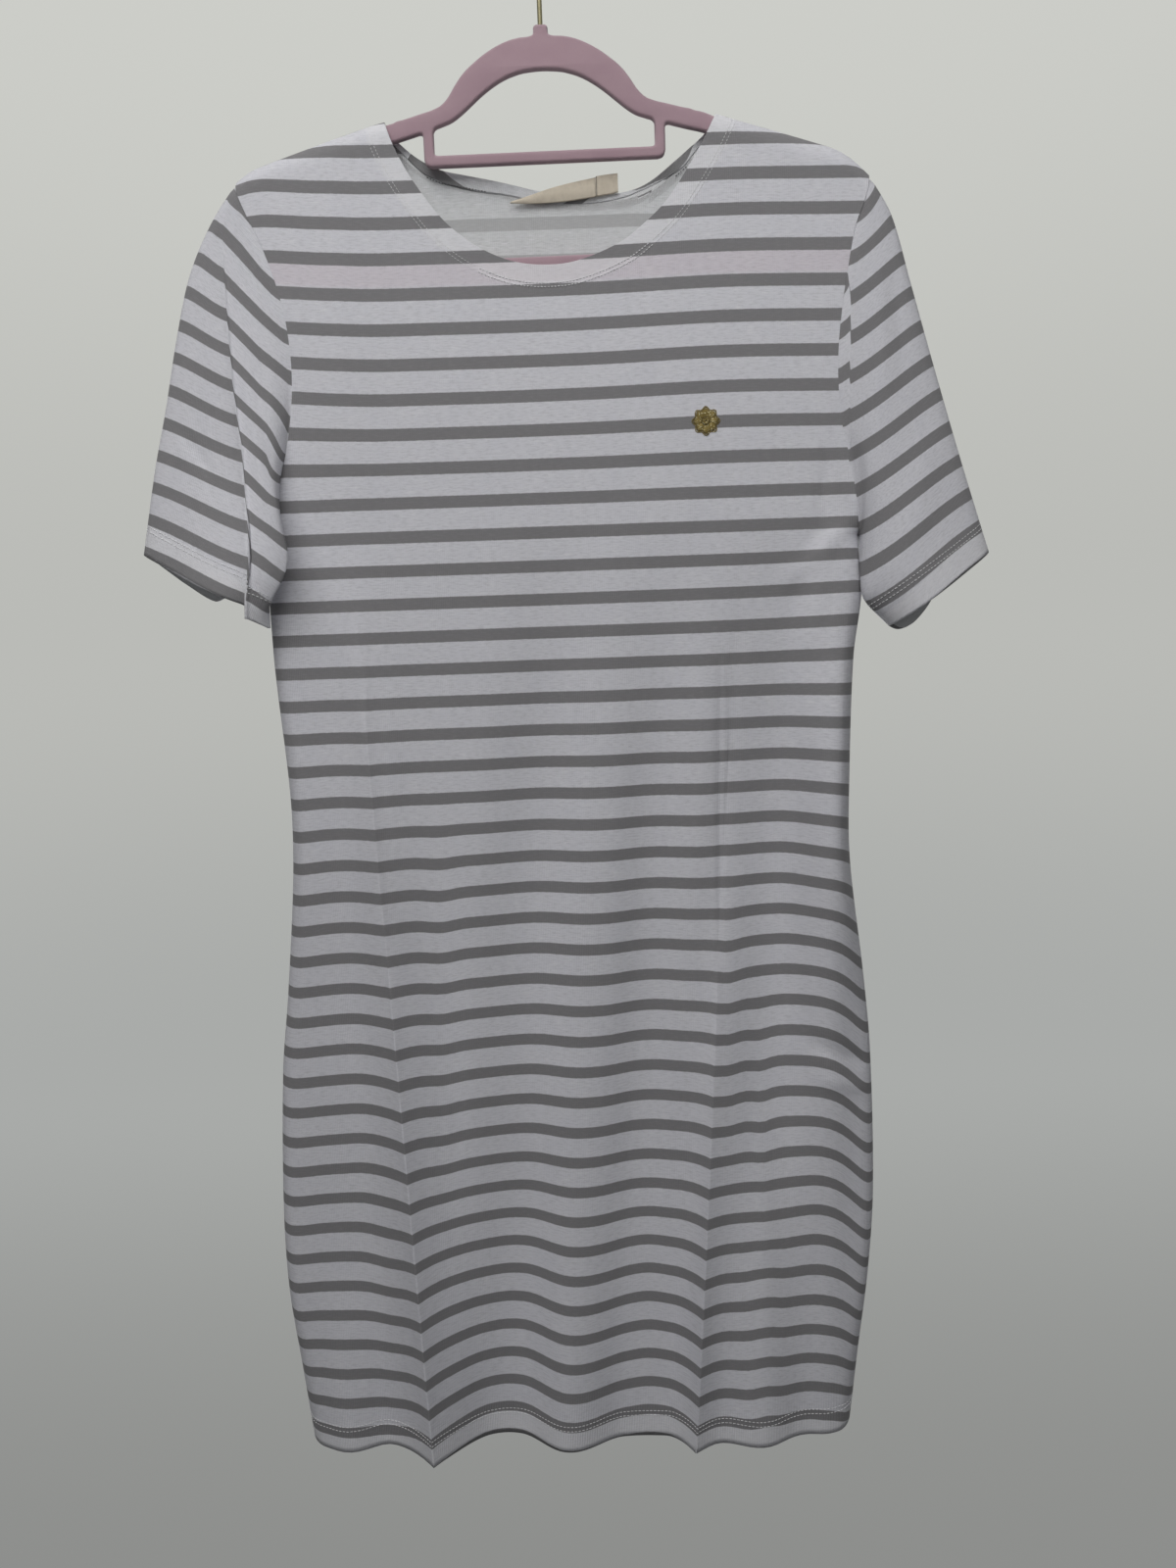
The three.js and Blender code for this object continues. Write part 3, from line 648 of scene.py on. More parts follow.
@dataclass(frozen=True)
class JerseyFinish:
    """Fine cotton jersey, off-white with level stripes of grey yarn.

    The grain runs in stripe pitches: a whole number lies on the middle of a stripe. On the
    front, the pink of the hanger's long bar, between the two stripes that it lies behind, is
    painted into the ground as painted light showing through the cloth. Doubled cloth is
    painted whiter: partly the whiter look of two layers, partly painted light, as less shade
    shows through them.
    """

    name: str
    ground: Colour = linear(230, 230, 236)
    stripe: Colour = linear(137, 136, 138)
    slub: Colour = linear(240, 240, 244)
    cloud: Colour = linear(206, 208, 222)
    # painted light: the pink of the hanger's bar behind the cloth, as it shows through
    bar: Colour = linear(214, 170, 186)
    soft_edge: float = 0.014
    waver: float = 0.02
    wale: float = 1.25
    course: float = 0.95
    # whether the painted show-through of the hanger's bar is put in
    painted_bar_show_through: bool = False
    first_stripe: float = -50.0
    turned_stripe: Colour | None = None

    def stripes(self, shader: Shader, vector: Socket, along: Socket) -> Socket:
        """Knits the stripes in, a little wavy and soft at their edges.

        Args:
            shader: The node tree.
            vector: The grain.
            along: The grain's part across the stripes.

        Returns:
            1 on a stripe and 0 on the ground.
        """
        wobble = shader.noise(vector, (9.0, 14.0, 1.0), 2.0)
        shifted = shader.math("MULTIPLY_ADD", wobble, self.waver, along)
        nearest = shader.math("FRACT", shader.math("ADD", shifted, 0.5 - self.waver / 2))
        away = shader.math("ABSOLUTE", shader.math("SUBTRACT", nearest, 0.5))
        half = STRIPE_WIDTH / 2 / STRIPE_PITCH
        inside = shader.ramp(away, half + self.soft_edge, half - self.soft_edge)
        begun = shader.ramp(along, self.first_stripe, self.first_stripe + 0.1)
        return shader.math("MULTIPLY", inside, begun)

    def mottled_ground(self, shader: Shader, vector: Socket, along: Socket, flecks: Socket) -> Socket:
        """Gives the ground its uneven yarn, with the painted show-through of the hanger's bar behind it.

        Args:
            shader: The node tree.
            vector: The grain.
            along: The grain's part across the stripes.
            flecks: Where the yarn is darker.

        Returns:
            The colour.
        """
        slubs = shader.ramp(shader.noise(vector, (2.6, 17.0, 3.0), 3.0, 0.6), 0.54, 0.72)
        clouds = shader.ramp(shader.noise(vector, (0.8, 0.6, 1.0), 3.0), 0.35, 0.7)
        ground = shader.tint(flecks, 0.51, self.ground, shade(self.ground, 0.72))
        ground = shader.tint(slubs, 0.75, ground, self.slub)
        ground = shader.tint(clouds, 0.1, ground, self.cloud)
        if not self.painted_bar_show_through:
            return ground
        # painted light: the bar's pink, showing through the cloth between two stripes
        band = shader.math("MULTIPLY", shader.ramp(along, -1.0, -0.8), shader.ramp(along, -0.1, -0.3))
        return shader.tint(band, 0.16, ground, self.bar)

    def material(self) -> bpy.types.Material:
        """Builds the material.

        Returns:
            The finished material.
        """
        shader = Shader(self.name)
        vector, across, along = shader.grain()
        layers = shader.sheet_value(DOUBLED)
        stripe = self.stripe
        if self.turned_stripe:
            change = shader.math("SUBTRACT", shader.sheet_value(TURNED), along)
            along = shader.math("MULTIPLY_ADD", layers, change, along)
            stripe = shader.mix(layers, self.stripe, self.turned_stripe)
        flecks = shader.ramp(shader.noise(vector, (4.2, 21.0, 1.0), 4.0, 0.66), 0.44, 0.68)
        stripe = shader.tint(flecks, 0.35, stripe, shade(self.stripe, 1.28))
        ground = self.mottled_ground(shader, vector, along, flecks)
        # doubled cloth painted whiter: partly the whiter look of two layers, partly painted light, as less
        # shade shows through them
        ground = shader.tint(layers, 0.3, ground, (1.0, 1.0, 1.0, 1.0))
        wales = shader.ribs(across, math.pi * STRIPE_PITCH / self.wale)
        courses = shader.ribs(along, math.pi * STRIPE_PITCH / self.course)
        loops = shader.math("MULTIPLY", wales, shader.math("MULTIPLY_ADD", courses, 0.4, 0.6))
        rumple = shader.noise(vector, (1.6, 0.5, 1.0), 3.0)
        shader.bump(shader.math("MULTIPLY_ADD", rumple, 3.0, loops), 0.00022, 0.7)
        colour = shader.mix(self.stripes(shader, vector, along), ground, stripe)
        shader.set(Base_Color=colour, Roughness=0.92, Sheen_Weight=0.12, Sheen_Roughness=0.45,
                   Specular_IOR_Level=0.25)
        return shader.material


@dataclass(frozen=True)
class ThreadFinish:
    """Twisted sewing thread."""

    name: str
    colour: Colour

    def material(self) -> bpy.types.Material:
        """Builds the material.

        Returns:
            The finished material.
        """
        shader = Shader(self.name)
        ply = shader.noise(shader.place(), (1400.0, 1400.0, 2600.0), 2.0)
        colour = shader.mix(shader.ramp(ply, 0.35, 0.7), shade(self.colour, 0.75), self.colour)
        shader.bump(ply, 0.0002, 0.8)
        shader.set(Base_Color=colour, Roughness=0.7, Sheen_Weight=0.1)
        return shader.material


@dataclass(frozen=True)
class GlitterFinish:
    """Metallic gold thread, with painted glints: pale spots put into its colour here and there, where flat
    strands would catch the light.
    """

    name: str
    deep: Colour = linear(122, 106, 56)
    # painted highlight colour of the glints
    painted_glint: Colour = linear(250, 244, 206)

    def material(self) -> bpy.types.Material:
        """Builds the material.

        Returns:
            The finished material.
        """
        shader = Shader(self.name)
        place = shader.place()
        flakes = shader.node("ShaderNodeTexVoronoi", feature="F1")
        shader.feed(flakes.inputs["Vector"], place)
        flakes.inputs["Scale"].default_value = 780.0
        spark = shader.ramp(flakes.outputs["Distance"], 0.42, 0.24)
        twist = shader.noise(place, (1800.0, 1800.0, 1800.0), 1.0)
        shader.bump(shader.math("ADD", spark, twist), 0.00025, 0.9)
        # painted glints: pale colour where flakes meet the twist, standing in for light caught by flat
        # strands
        glint_mask = shader.math("MULTIPLY", spark, shader.ramp(twist, 0.45, 0.55))
        roughness = shader.math("MULTIPLY_ADD", twist, 0.4, 0.2)
        shader.set(Base_Color=shader.mix(glint_mask, self.deep, self.painted_glint), Roughness=roughness, Metallic=0.5)
        return shader.material


@dataclass(frozen=True)
class RibbonFinish:
    """Woven satin tape, blank, with its fine cross ribs, and painted shadow along the tab's end where it
    meets the label.
    """

    name: str
    colour: Colour = linear(214, 203, 184)
    worn: Colour = linear(186, 175, 156)
    # painted shadow: the dark of the slit between the label and the tab
    painted_slit_shadow: Colour = linear(112, 102, 88)

    def material(self) -> bpy.types.Material:
        """Builds the material.

        Returns:
            The finished material.
        """
        shader = Shader(self.name)
        vector, across, along = shader.grain()
        weave = shader.math("MULTIPLY", shader.ribs(across, 95.0), shader.ribs(along, 150.0))
        mottle = shader.noise(vector, (5.0, 4.0, 1.0), 3.0, 0.6)
        colour = shader.tint(shader.ramp(mottle, 0.35, 0.75), 0.5, self.colour, self.worn)
        # painted shadow along the tab's end, where it meets the label
        colour = shader.mix(shader.sheet_value(DOUBLED), colour, self.painted_slit_shadow)
        shader.bump(shader.math("MULTIPLY_ADD", mottle, 1.5, weave), 0.00012, 0.6)
        shader.set(Base_Color=colour, Roughness=0.62, Sheen_Weight=0.15)
        return shader.material


@dataclass(frozen=True)
class FlockFinish:
    """Short pile glued on a moulded body: matte, with a soft pale bloom at its edges."""

    name: str
    colour: Colour = linear(185, 155, 165)
    pile: Colour = linear(168, 136, 149)

    def material(self) -> bpy.types.Material:
        """Builds the material.

        Returns:
            The finished material.
        """
        shader = Shader(self.name)
        place = shader.place()
        fuzz = shader.noise(place, (2600.0, 2600.0, 2600.0), 3.0, 0.7)
        brushed = shader.noise(place, (34.0, 34.0, 60.0), 4.0, 0.6)
        colour = shader.tint(shader.ramp(brushed, 0.35, 0.7), 0.3, self.colour, self.pile)
        colour = shader.tint(shader.ramp(fuzz, 0.45, 0.75), 0.3, colour, self.pile)
        shader.bump(fuzz, 0.0004, 0.6)
        shader.set(Base_Color=colour, Roughness=1.0, Sheen_Weight=0.45, Sheen_Roughness=0.7,
                   Specular_IOR_Level=0.1)
        return shader.material


@dataclass(frozen=True)
class WireFinish:
    """Brass-coloured plating on drawn steel wire, with faint lengthwise draw marks."""

    name: str
    colour: Colour = linear(126, 121, 97)
    tarnish: Colour = linear(99, 93, 72)

    def material(self) -> bpy.types.Material:
        """Builds the material.

        Returns:
            The finished material.
        """
        shader = Shader(self.name)
        place = shader.place()
        marks = shader.noise(place, (900.0, 900.0, 40.0), 3.0)
        patches = shader.noise(place, (60.0, 60.0, 45.0), 4.0, 0.6)
        colour = shader.mix(shader.ramp(patches, 0.4, 0.75), self.colour, self.tarnish)
        shader.bump(marks, 0.00006, 0.5)
        roughness = shader.math("MULTIPLY_ADD", patches, 0.25, 0.36)
        shader.set(Base_Color=colour, Metallic=1.0, Roughness=roughness)
        return shader.material


@dataclass(frozen=True)
class BackdropFinish:
    """A pale backdrop that glows with its own light, painted lighter toward the top and painted darker low
    down, most of all on the near side, as under light from above.
    """

    name: str
    # painted light: the glow is lighter at the top and darker low down and near, as lit from above
    top: Colour = linear(205, 206, 201)
    middle: Colour = linear(186, 187, 183)
    low: Colour = linear(169, 171, 169)
    near: Colour = linear(140, 141, 139)

    def material(self) -> bpy.types.Material:
        """Builds the material.

        Returns:
            The finished material.
        """
        shader = Shader(self.name)
        parts = shader.node("ShaderNodeSeparateXYZ")
        shader.feed(parts.inputs[0], shader.place())
        # painted light: lighter upward, darker downward and darker again low on the near side
        upper = shader.ramp(parts.outputs["Z"], -0.5, 1.5)
        lower = shader.ramp(parts.outputs["Z"], -0.5, -1.7)
        near = shader.math("MULTIPLY", lower, shader.ramp(parts.outputs["Y"], 2.2, 0.3))
        colour = shader.mix(upper, self.middle, self.top)
        colour = shader.mix(lower, colour, self.low)
        colour = shader.mix(near, colour, self.near)
        shader.set(Base_Color=(0.0, 0.0, 0.0, 1.0), Specular_IOR_Level=0.0, Emission_Color=colour,
                   Emission_Strength=1.0)
        return shader.material


# ------------------------------------------------------------------ front and back


def arm_opening(z: np.ndarray) -> np.ndarray:
    """Returns 0 at the underarm point and 1 from the armhole's widest place upward."""
    return rounded(z - UNDERARM_Z, ARM_OPENING)


def drape(x: np.ndarray, z: np.ndarray, seed: float) -> np.ndarray:
    """Gives the small unevenness of hanging jersey: slow, quick and level waves, added up.

    Args:
        x: Places across the dress.
        z: Heights.
        seed: A number that sets one piece apart from another.

    Returns:
        Distances of up to about 1 mm.
    """
    slow = np.sin(x / 31 + seed + 0.7 * np.sin(z / 170 + seed))
    quick = np.sin(x / 13.5 - 2 * seed + 1.1 * np.sin(z / 90 - seed)) * np.sin(z / 121 + seed)
    level = np.sin(z / 47 + 0.8 * np.sin(x / 60 + seed))
    return 0.45 * slow + 0.22 * quick + 0.18 * level


@dataclass
class Panel:
    """The front or the back of the body, cut in one piece from shoulder to hem.

    Shares across run from -1 at the right side seam to 1 at the left one. A panel with
    pressed creases has grid lines that follow them from crease_s on the right and from the
    neck corner on the left. The skew says how far the stripes are pulled out of level.
    """

    name: str
    node: str
    side: Side
    neck: NeckLine
    folds: tuple[Fold, ...]
    wrinkles: tuple[Wrinkle, ...]
    flat: tuple[float, float]
    cut_area: float
    skew: tuple[Wrinkle, ...]
    crease_s: float = 0.0
    column_step: float = 4.0
    row_step: float = 4.5
    fine_step: float = 0.004
    armhole_drop: float = 250.0
    turned_hem: tuple[float, float] = (18.0, 21.5)
    sheet: Sheet = field(init=False, repr=False, default=None)

    def depth(self, x: np.ndarray, z: np.ndarray) -> np.ndarray:
        """Works out where the outer face lies.

        Args:
            x: Places across the dress.
            z: Heights.

        Returns:
            The y of the outer face at each place.
        """
        x, z = np.broadcast_arrays(np.asarray(x, float), np.asarray(z, float))
        low_reach = np.minimum(x - BODY.at("right", UNDERARM_Z), BODY.at("left", UNDERARM_Z) - x)
        reach = np.minimum(x - BODY.at("right", z), BODY.at("left", z) - x)
        upper = lerp(rounded(np.maximum(low_reach, 0), SIDE_ROUND), 1, arm_opening(z))
        edge = np.where(z > UNDERARM_Z, upper, rounded(reach, SIDE_ROUND))
        top = rounded(SHOULDER.at("z", np.abs(x)) - z, TOP_ROUND)
        lift = BODY.at(self.side.name.lower(), z) + drape(x, z, 1.3 * self.side.value)
        for form in (*self.folds, *self.wrinkles):
            lift = lift + form.lift(x, z)
        return self.side.value * (SEAM + edge * top * lift)

    def columns(self) -> np.ndarray:
        """Places the lengthwise grid lines, with one on each pressed crease.

        Returns:
            Shares from -1 at the right side seam to 1 at the left one.
        """
        fine, neck_points, round_points = self.fine_step, 41, 9
        neck = CORNER * np.sin(np.linspace(0, math.pi / 2, neck_points))
        turn = np.linspace(math.pi / 2, 0, round_points)
        side = 1 - SIDE_ROUND / HALF_CHEST * (1 - np.cos(turn))
        middle_end = 1 - SIDE_ROUND / HALF_CHEST
        steps = int((middle_end - CORNER) * HALF_CHEST / self.column_step)
        middle = np.linspace(CORNER, middle_end, steps)
        left = np.unique(np.round(np.concatenate([neck, middle, side, [CORNER + fine]]), 5))
        right = left
        if self.crease_s:
            crease = [self.crease_s - fine, self.crease_s, self.crease_s + fine]
            clear = left[np.abs(left - self.crease_s) > 2.25 * fine]
            right = np.unique(np.round(np.concatenate([clear, crease]), 5))
        return np.concatenate([-right[::-1], left[1:]])

    def rows(self) -> np.ndarray:
        """Places the level grid lines above the underarm, close together at both ends.

        Returns:
            Shares from 0 at the neck and shoulder to 1 at the underarm.
        """
        start = np.array([0, 0.002, 0.006, 0.012, 0.02, 0.03, 0.042])
        end = 1 - np.array([0.034, 0.02, 0.01, 0.004, 0])
        middle = np.linspace(0.056, 0.955, int(self.armhole_drop / self.row_step))
        return np.concatenate([start, middle, end])

    def upper(self, s: np.ndarray, r: np.ndarray) -> tuple[np.ndarray, np.ndarray]:
        """Places points between the neck and shoulder line and the underarm.

        Args:
            s: Shares across, as columns gives them.
            r: Shares down, as rows gives them.

        Returns:
            The x and z of each point.
        """
        size = np.abs(s)
        right = s < 0
        arm_low = np.where(right, ARMHOLE.at("right", UNDERARM_Z), ARMHOLE.at("left", UNDERARM_Z))
        tip = np.where(right, TIP_RIGHT, TIP_LEFT)
        corner = NECK_CENTRE + np.where(right, -1, 1) * NECK_HALF
        outward = np.clip((size - CORNER) / (1 - CORNER), 0, 1)
        top_x = np.where(size <= CORNER, NECK_CENTRE + NECK_HALF * s / CORNER, lerp(corner, tip, outward))
        top_z = np.where(size < CORNER, self.neck.z(top_x), SHOULDER.at("z", np.abs(top_x)))
        z = lerp(top_z, UNDERARM_Z, r)
        low_left, low_right = ARMHOLE.at("left", UNDERARM_Z), ARMHOLE.at("right", UNDERARM_Z)
        low_x = (low_left + low_right) / 2 + s * (low_left - low_right) / 2
        arm = np.where(right, ARMHOLE.at("right", z), ARMHOLE.at("left", z))
        tip_z = SHOULDER.at("z", np.abs(tip))
        straight = lerp(tip, arm_low, np.clip((z - tip_z) / (UNDERARM_Z - tip_z), 0, 1))
        return lerp(top_x, low_x, r) + (arm - straight) * size**4, z

    def lower(self, s: np.ndarray, k: np.ndarray) -> tuple[np.ndarray, np.ndarray]:
        """Places points between the underarm and the hem.

        Args:
            s: Shares across, as columns gives them.
            k: Shares down, from 0 at the underarm to 1 at the hem.

        Returns:
            The x and z of each point.
        """
        z = lerp(UNDERARM_Z, lerp(HEM_MIDDLE, HEM_SIDE, s * s), k)
        right, left = BODY.at("right", z), BODY.at("left", z)
        even = lerp(right, left, (s + 1) / 2)
        if not self.crease_s:
            return even, z
        creases = [fold for fold in self.folds if fold.sharp]
        knots = [(-1, right), (-self.crease_s, creases[0].crest(z)), (0, (left + right) / 2),
                 (CORNER, creases[1].crest(z)), (1, left)]
        led = even
        for (s0, x0), (s1, x1) in zip(knots, knots[1:]):
            led = np.where((s >= s0) & (s <= s1), lerp(x0, x1, (s - s0) / (s1 - s0)), led)
        led_from, led_fully = 20, 160
        return lerp(even, led, smoothstep(UNDERARM_Z - z, led_from, led_fully)), z

    def lay(self) -> Sheet:
        """Lays the whole grid of the panel.

        Returns:
            The sheet, with its grain and where it is doubled.
        """
        s = self.columns()[None, :]
        x0, z0 = self.upper(s, self.rows()[:, None])
        steps = int((UNDERARM_Z - HEM_MIDDLE) / self.row_step)
        x1, z1 = self.lower(s, np.linspace(0, 1, steps + 1)[1:, None])
        x, z = np.vstack([x0, x1]), np.vstack([z0, z1])
        points = np.stack([x, self.depth(x, z), z], axis=2)
        slip = sum((form.lift(x, z) for form in self.skew), np.zeros_like(x))
        grain = np.stack([x / STRIPE_PITCH, (STRIPE_ZERO - z - slip) / STRIPE_PITCH], axis=2)
        low, high = self.turned_hem
        hem = smoothstep(z, HEM_MIDDLE + high, HEM_MIDDLE + low)
        band = smoothstep(self.neck_distance(x, z), self.neck.band + 1.5, self.neck.band - 1)
        return Sheet(points, grain, np.maximum(hem, band))

    def neck_distance(self, x: np.ndarray, z: np.ndarray) -> np.ndarray:
        """Measures how far places on the panel are from its neck edge.

        Args:
            x: Places across the dress.
            z: Heights.

        Returns:
            The distances in millimetres.
        """
        found = np.full(x.shape, np.inf)
        for edge_x, edge_z, _, _ in self.neck.path(60):
            found = np.minimum(found, np.hypot(x - edge_x, z - edge_z))
        return found

    def spot(self, x: np.ndarray, z: np.ndarray) -> tuple[np.ndarray, np.ndarray]:
        """Finds points on the outer face and the directions that they face.

        Args:
            x: Places across the dress.
            z: Heights.

        Returns:
            The points and their unit normals.
        """
        step = 0.5
        x, z = np.broadcast_arrays(np.asarray(x, float), np.asarray(z, float))
        slope_x = (self.depth(x + step, z) - self.depth(x - step, z)) / (2 * step)
        slope_z = (self.depth(x, z + step) - self.depth(x, z - step)) / (2 * step)
        normal = np.stack([-slope_x, np.ones_like(x), -slope_z], axis=-1) * self.side.value
        normal /= np.linalg.norm(normal, axis=-1, keepdims=True)
        return np.stack([x, self.depth(x, z), z], axis=-1), normal

    def build(self, outer: bpy.types.Material, inner: bpy.types.Material) -> bpy.types.Object:
        """Makes the panel, sets it on the dress's body and hides its solid.

        Args:
            outer: The finish of the right side of the cloth.
            inner: The finish of the wrong side.

        Returns:
            The finished piece.
        """
        self.sheet = self.lay()
        piece = self.sheet.build(self.name, np.array([0.0, self.side.value, 0.0]), outer, inner)
        thicken(piece, JERSEY, TURNED_PLY)
        declare(piece, self.node)
        return piece


# ------------------------------------------------------------------ sleeves


def fullness(r: np.ndarray) -> np.ndarray:
    """Returns how full a flat-pressed tube is: 0 at its two folds and 1 midway."""
    return 2 * np.sqrt(np.maximum(0, r * (1 - r)))


@dataclass
class SleeveGrid:
    """Where the points of a sleeve lie on its tube.

    t runs from the armhole to the cuff and r from the outer fold to the inner one. The side
    is -1 in front and 1 behind, inward is the distance inward of the crease in millimetres,
    and inner_leaf says which points lie on the inner side of the crease.
    """

    t: np.ndarray
    r: np.ndarray
    side: np.ndarray
    inward: np.ndarray
    inner_leaf: np.ndarray


@dataclass
class Sleeve:
    """One short sleeve: an open tube from the armhole to the cuff, pressed flat.

    The stations run from the armhole, t = 0, to the cuff, t = 1. The outer fold hangs from
    the shoulder and the inner fold from the underarm. The grain says, for each drop below
    the hook, where the outer edge, the pressed crease, a soft fold and the inner edge lie,
    and which stripe crosses them: stripe 0 is the last before the cuff. The cloth overlaps
    itself a little at the crease, so the stripes differ on its two sides. A plumb sleeve has
    its crease straight down, and the other has it along the armhole. The ledge is the height
    of the crease. The sag says how much lower the back of the cuff hangs, and the hitch how
    much higher the front of it is, outward of the crease.
    """

    name: str
    node: str
    hand: Hand
    stations: Table
    grain: Table
    plumb: bool
    wrinkles: tuple[Wrinkle, ...]
    sag: Table
    ledge: float
    hitch: float
    flat: tuple[float, float] = (0.50, 0.26)
    cut_area: float = 0.056
    turned_cuff: tuple[float, float] = (0.905, 0.92)
    tuck: tuple[float, float] = (2.0, 0.5)
    hitch_reach: float = 45.0
    outer_length: float = 255.0
    inner_length: float = 66.0
    brow: float = 0.86
    ring_steps: int = 76
    length_steps: int = 92
    crowding: float = 1.15
    search_steps: int = 500
    crease_share: float = 0.55
    crease_row: float = 0.06
    crease_steps: tuple[float, float] = (0.005, 0.012)
    sheet: Sheet = field(init=False, repr=False, default=None)

    def ring(self) -> tuple[np.ndarray, np.ndarray]:
        """Places points round the tube.

        Returns:
            Shares from the outer fold to the inner one, and -1 in front or 1 behind.
        """
        turn = np.linspace(0, math.pi, self.ring_steps)
        crease = self.crease_share + np.array([0, *self.crease_steps])
        share = np.concatenate([(1 - np.cos(turn)) / 2, crease])
        share = np.unique(np.round(share, 5))
        return np.concatenate([share, share[::-1]]), np.repeat([-1.0, 1.0], len(share))

    def plan(
        self, front: Panel, t: np.ndarray, r: np.ndarray, side: float = -1.0
    ) -> tuple[np.ndarray, np.ndarray]:
        """Places points of the flat-pressed sleeve.

        Args:
            front: The front panel, whose armhole the sleeve is sewn to.
            t: Shares from the armhole to the cuff.
            r: Shares from the outer fold to the inner one.
            side: -1 in front or 1 behind. The front bulges over the underarm.

        Returns:
            The x and z of each point.
        """
        arm_x, arm_z = front.upper(np.array([float(self.hand.value)]), r)
        read = self.stations.at
        keep = (1 - t) ** 2
        straight_x = lerp(read("outer_x", 0.0), read("inner_x", 0.0), r)
        straight_z = lerp(read("outer_z", 0.0), read("inner_z", 0.0), r)
        x = lerp(read("outer_x", t), read("inner_x", t), r) + (arm_x - straight_x) * keep
        z = lerp(read("outer_z", t), read("inner_z", t), r) + (arm_z - straight_z) * keep
        quarter = math.pi / 2
        up = np.sin(quarter * np.minimum(r / self.brow, 1)) ** 1.6
        down = np.cos(quarter * (r - self.brow) / (1 - self.brow))
        bulge = read("bulge", t) * np.clip(np.where(r < self.brow, up, down), 0, 1)
        return x - np.where(side < 0, self.hand.value * bulge, 0), z

    def width(self, t: np.ndarray) -> np.ndarray:
        """Returns the flat width of the tube at a station."""
        read = self.stations.at
        return np.hypot(read("outer_x", t) - read("inner_x", t), read("outer_z", t) - read("inner_z", t))

    def outside(self, x: np.ndarray, z: np.ndarray) -> np.ndarray:
        """Returns how far places lie outward of the crease, in millimetres."""
        return (x - self.grain.at("crease_x", -z)) * self.hand.value

    def lines(self, front: Panel) -> SleeveGrid:
        """Draws the grid lines so that one of them runs along the crease.

        Args:
            front: The front panel.

        Returns:
            The grid.
        """
        row = self.crease_row
        r0, side = self.ring()
        t0 = np.linspace(0, 1, self.length_steps + 1) ** self.crowding
        crease = row - np.array([0, *self.crease_steps])
        t0 = np.unique(np.round(np.concatenate([t0, crease]), 5))[:, None]
        if self.plumb:
            first, last, slack = 0.03, 0.93, 0.001
            fine = np.linspace(0, 1, self.search_steps)
            x, z = self.plan(front, t0, fine[None, :])
            crossing = fine[np.argmax(self.outside(x, z) < 0, axis=1)][:, None]
            crossing = np.clip(crossing, first, last)
            r = knee(r0[None, :], self.crease_share, crossing)
            t = np.broadcast_to(t0, r.shape)
            inner_leaf = (r0 > self.crease_share) | (crossing < first + slack)
            inward = (r - crossing) * self.width(t)
        else:
            first, last, slack = 0.012, 0.2, 0.0001
            fine = np.linspace(0, 0.3, self.search_steps)
            x, z = self.plan(front, fine[:, None], r0[None, :])
            crossing = fine[np.argmax(self.outside(x, z) > 0, axis=0)][None, :]
            crossing = np.clip(crossing, first, last)
            t = knee(t0, row, crossing)
            r = np.broadcast_to(r0[None, :], t.shape)
            inner_leaf = (t0 < row) & (crossing > first + slack)
            inward = (crossing - t) * lerp(self.outer_length, self.inner_length, r)
        return SleeveGrid(t, r, np.broadcast_to(side, r.shape), inward, inner_leaf)

    def stripes(self, x: np.ndarray, z: np.ndarray, inner_leaf: np.ndarray) -> np.ndarray:
        """Reads which stripe crosses each place.

        Args:
            x: Places across.
            z: Heights.
            inner_leaf: Whether a place lies inward of the crease.

        Returns:
            Stripe numbers.
        """
        def read(column: str) -> np.ndarray:
            return self.grain.at(column, -z)

        def share(start: str, end: str) -> np.ndarray:
            return np.clip((x - read(start)) / (read(end) - read(start)), -0.2, 1.25)

        run = share("outer_x", "crease_x")
        run = lerp(run, smoothstep(run, 0, 1), 0.22)
        outer = lerp(read("outer"), read("crease"), run)
        inner = lerp(read("tuck"), read("fold"), np.minimum(share("crease_x", "fold_x"), 1))
        inner = inner + (read("inner") - read("fold")) * np.maximum(share("fold_x", "inner_x"), 0)
        return np.where(inner_leaf, inner, outer)

    def skin(self, front: Panel, back: Panel, grid: SleeveGrid) -> np.ndarray:
        """Places the bare tube, whose first row lies under the edges of the armhole.

        Args:
            front: The front panel.
            back: The back panel.
            grid: The grid.

        Returns:
            The points.
        """
        t, r, side = grid.t, grid.r, grid.side
        read = self.stations.at
        x, z = self.plan(front, t, r, side)
        near_cuff = smoothstep(t, 0.6, 1)
        fading = np.exp(np.minimum(grid.inward, 0) / self.hitch_reach)
        z = z + self.hitch * near_cuff * np.where(grid.inner_leaf, 0, fading)
        z = z - np.where(side > 0, self.sag.at("drop", r) * near_cuff, 0)
        arm_x, arm_z = front.upper(np.array([float(self.hand.value)]), r)
        seam_y = np.where(side < 0, front.depth(arm_x, arm_z), back.depth(arm_x, arm_z))
        lean = read("inner_y", t) * smoothstep(r, 0.15, 0.84)
        y = lerp(lean + side * (SEAM + read("half", t) * fullness(r)), seam_y, (1 - t) ** 6)
        tucked = 1 - smoothstep(t, 0, 0.03)
        under_x, under_y = self.tuck
        x = x + self.hand.value * (SEAM - under_x * tucked)
        return np.stack([x, y - side * under_y * tucked, z], axis=2)

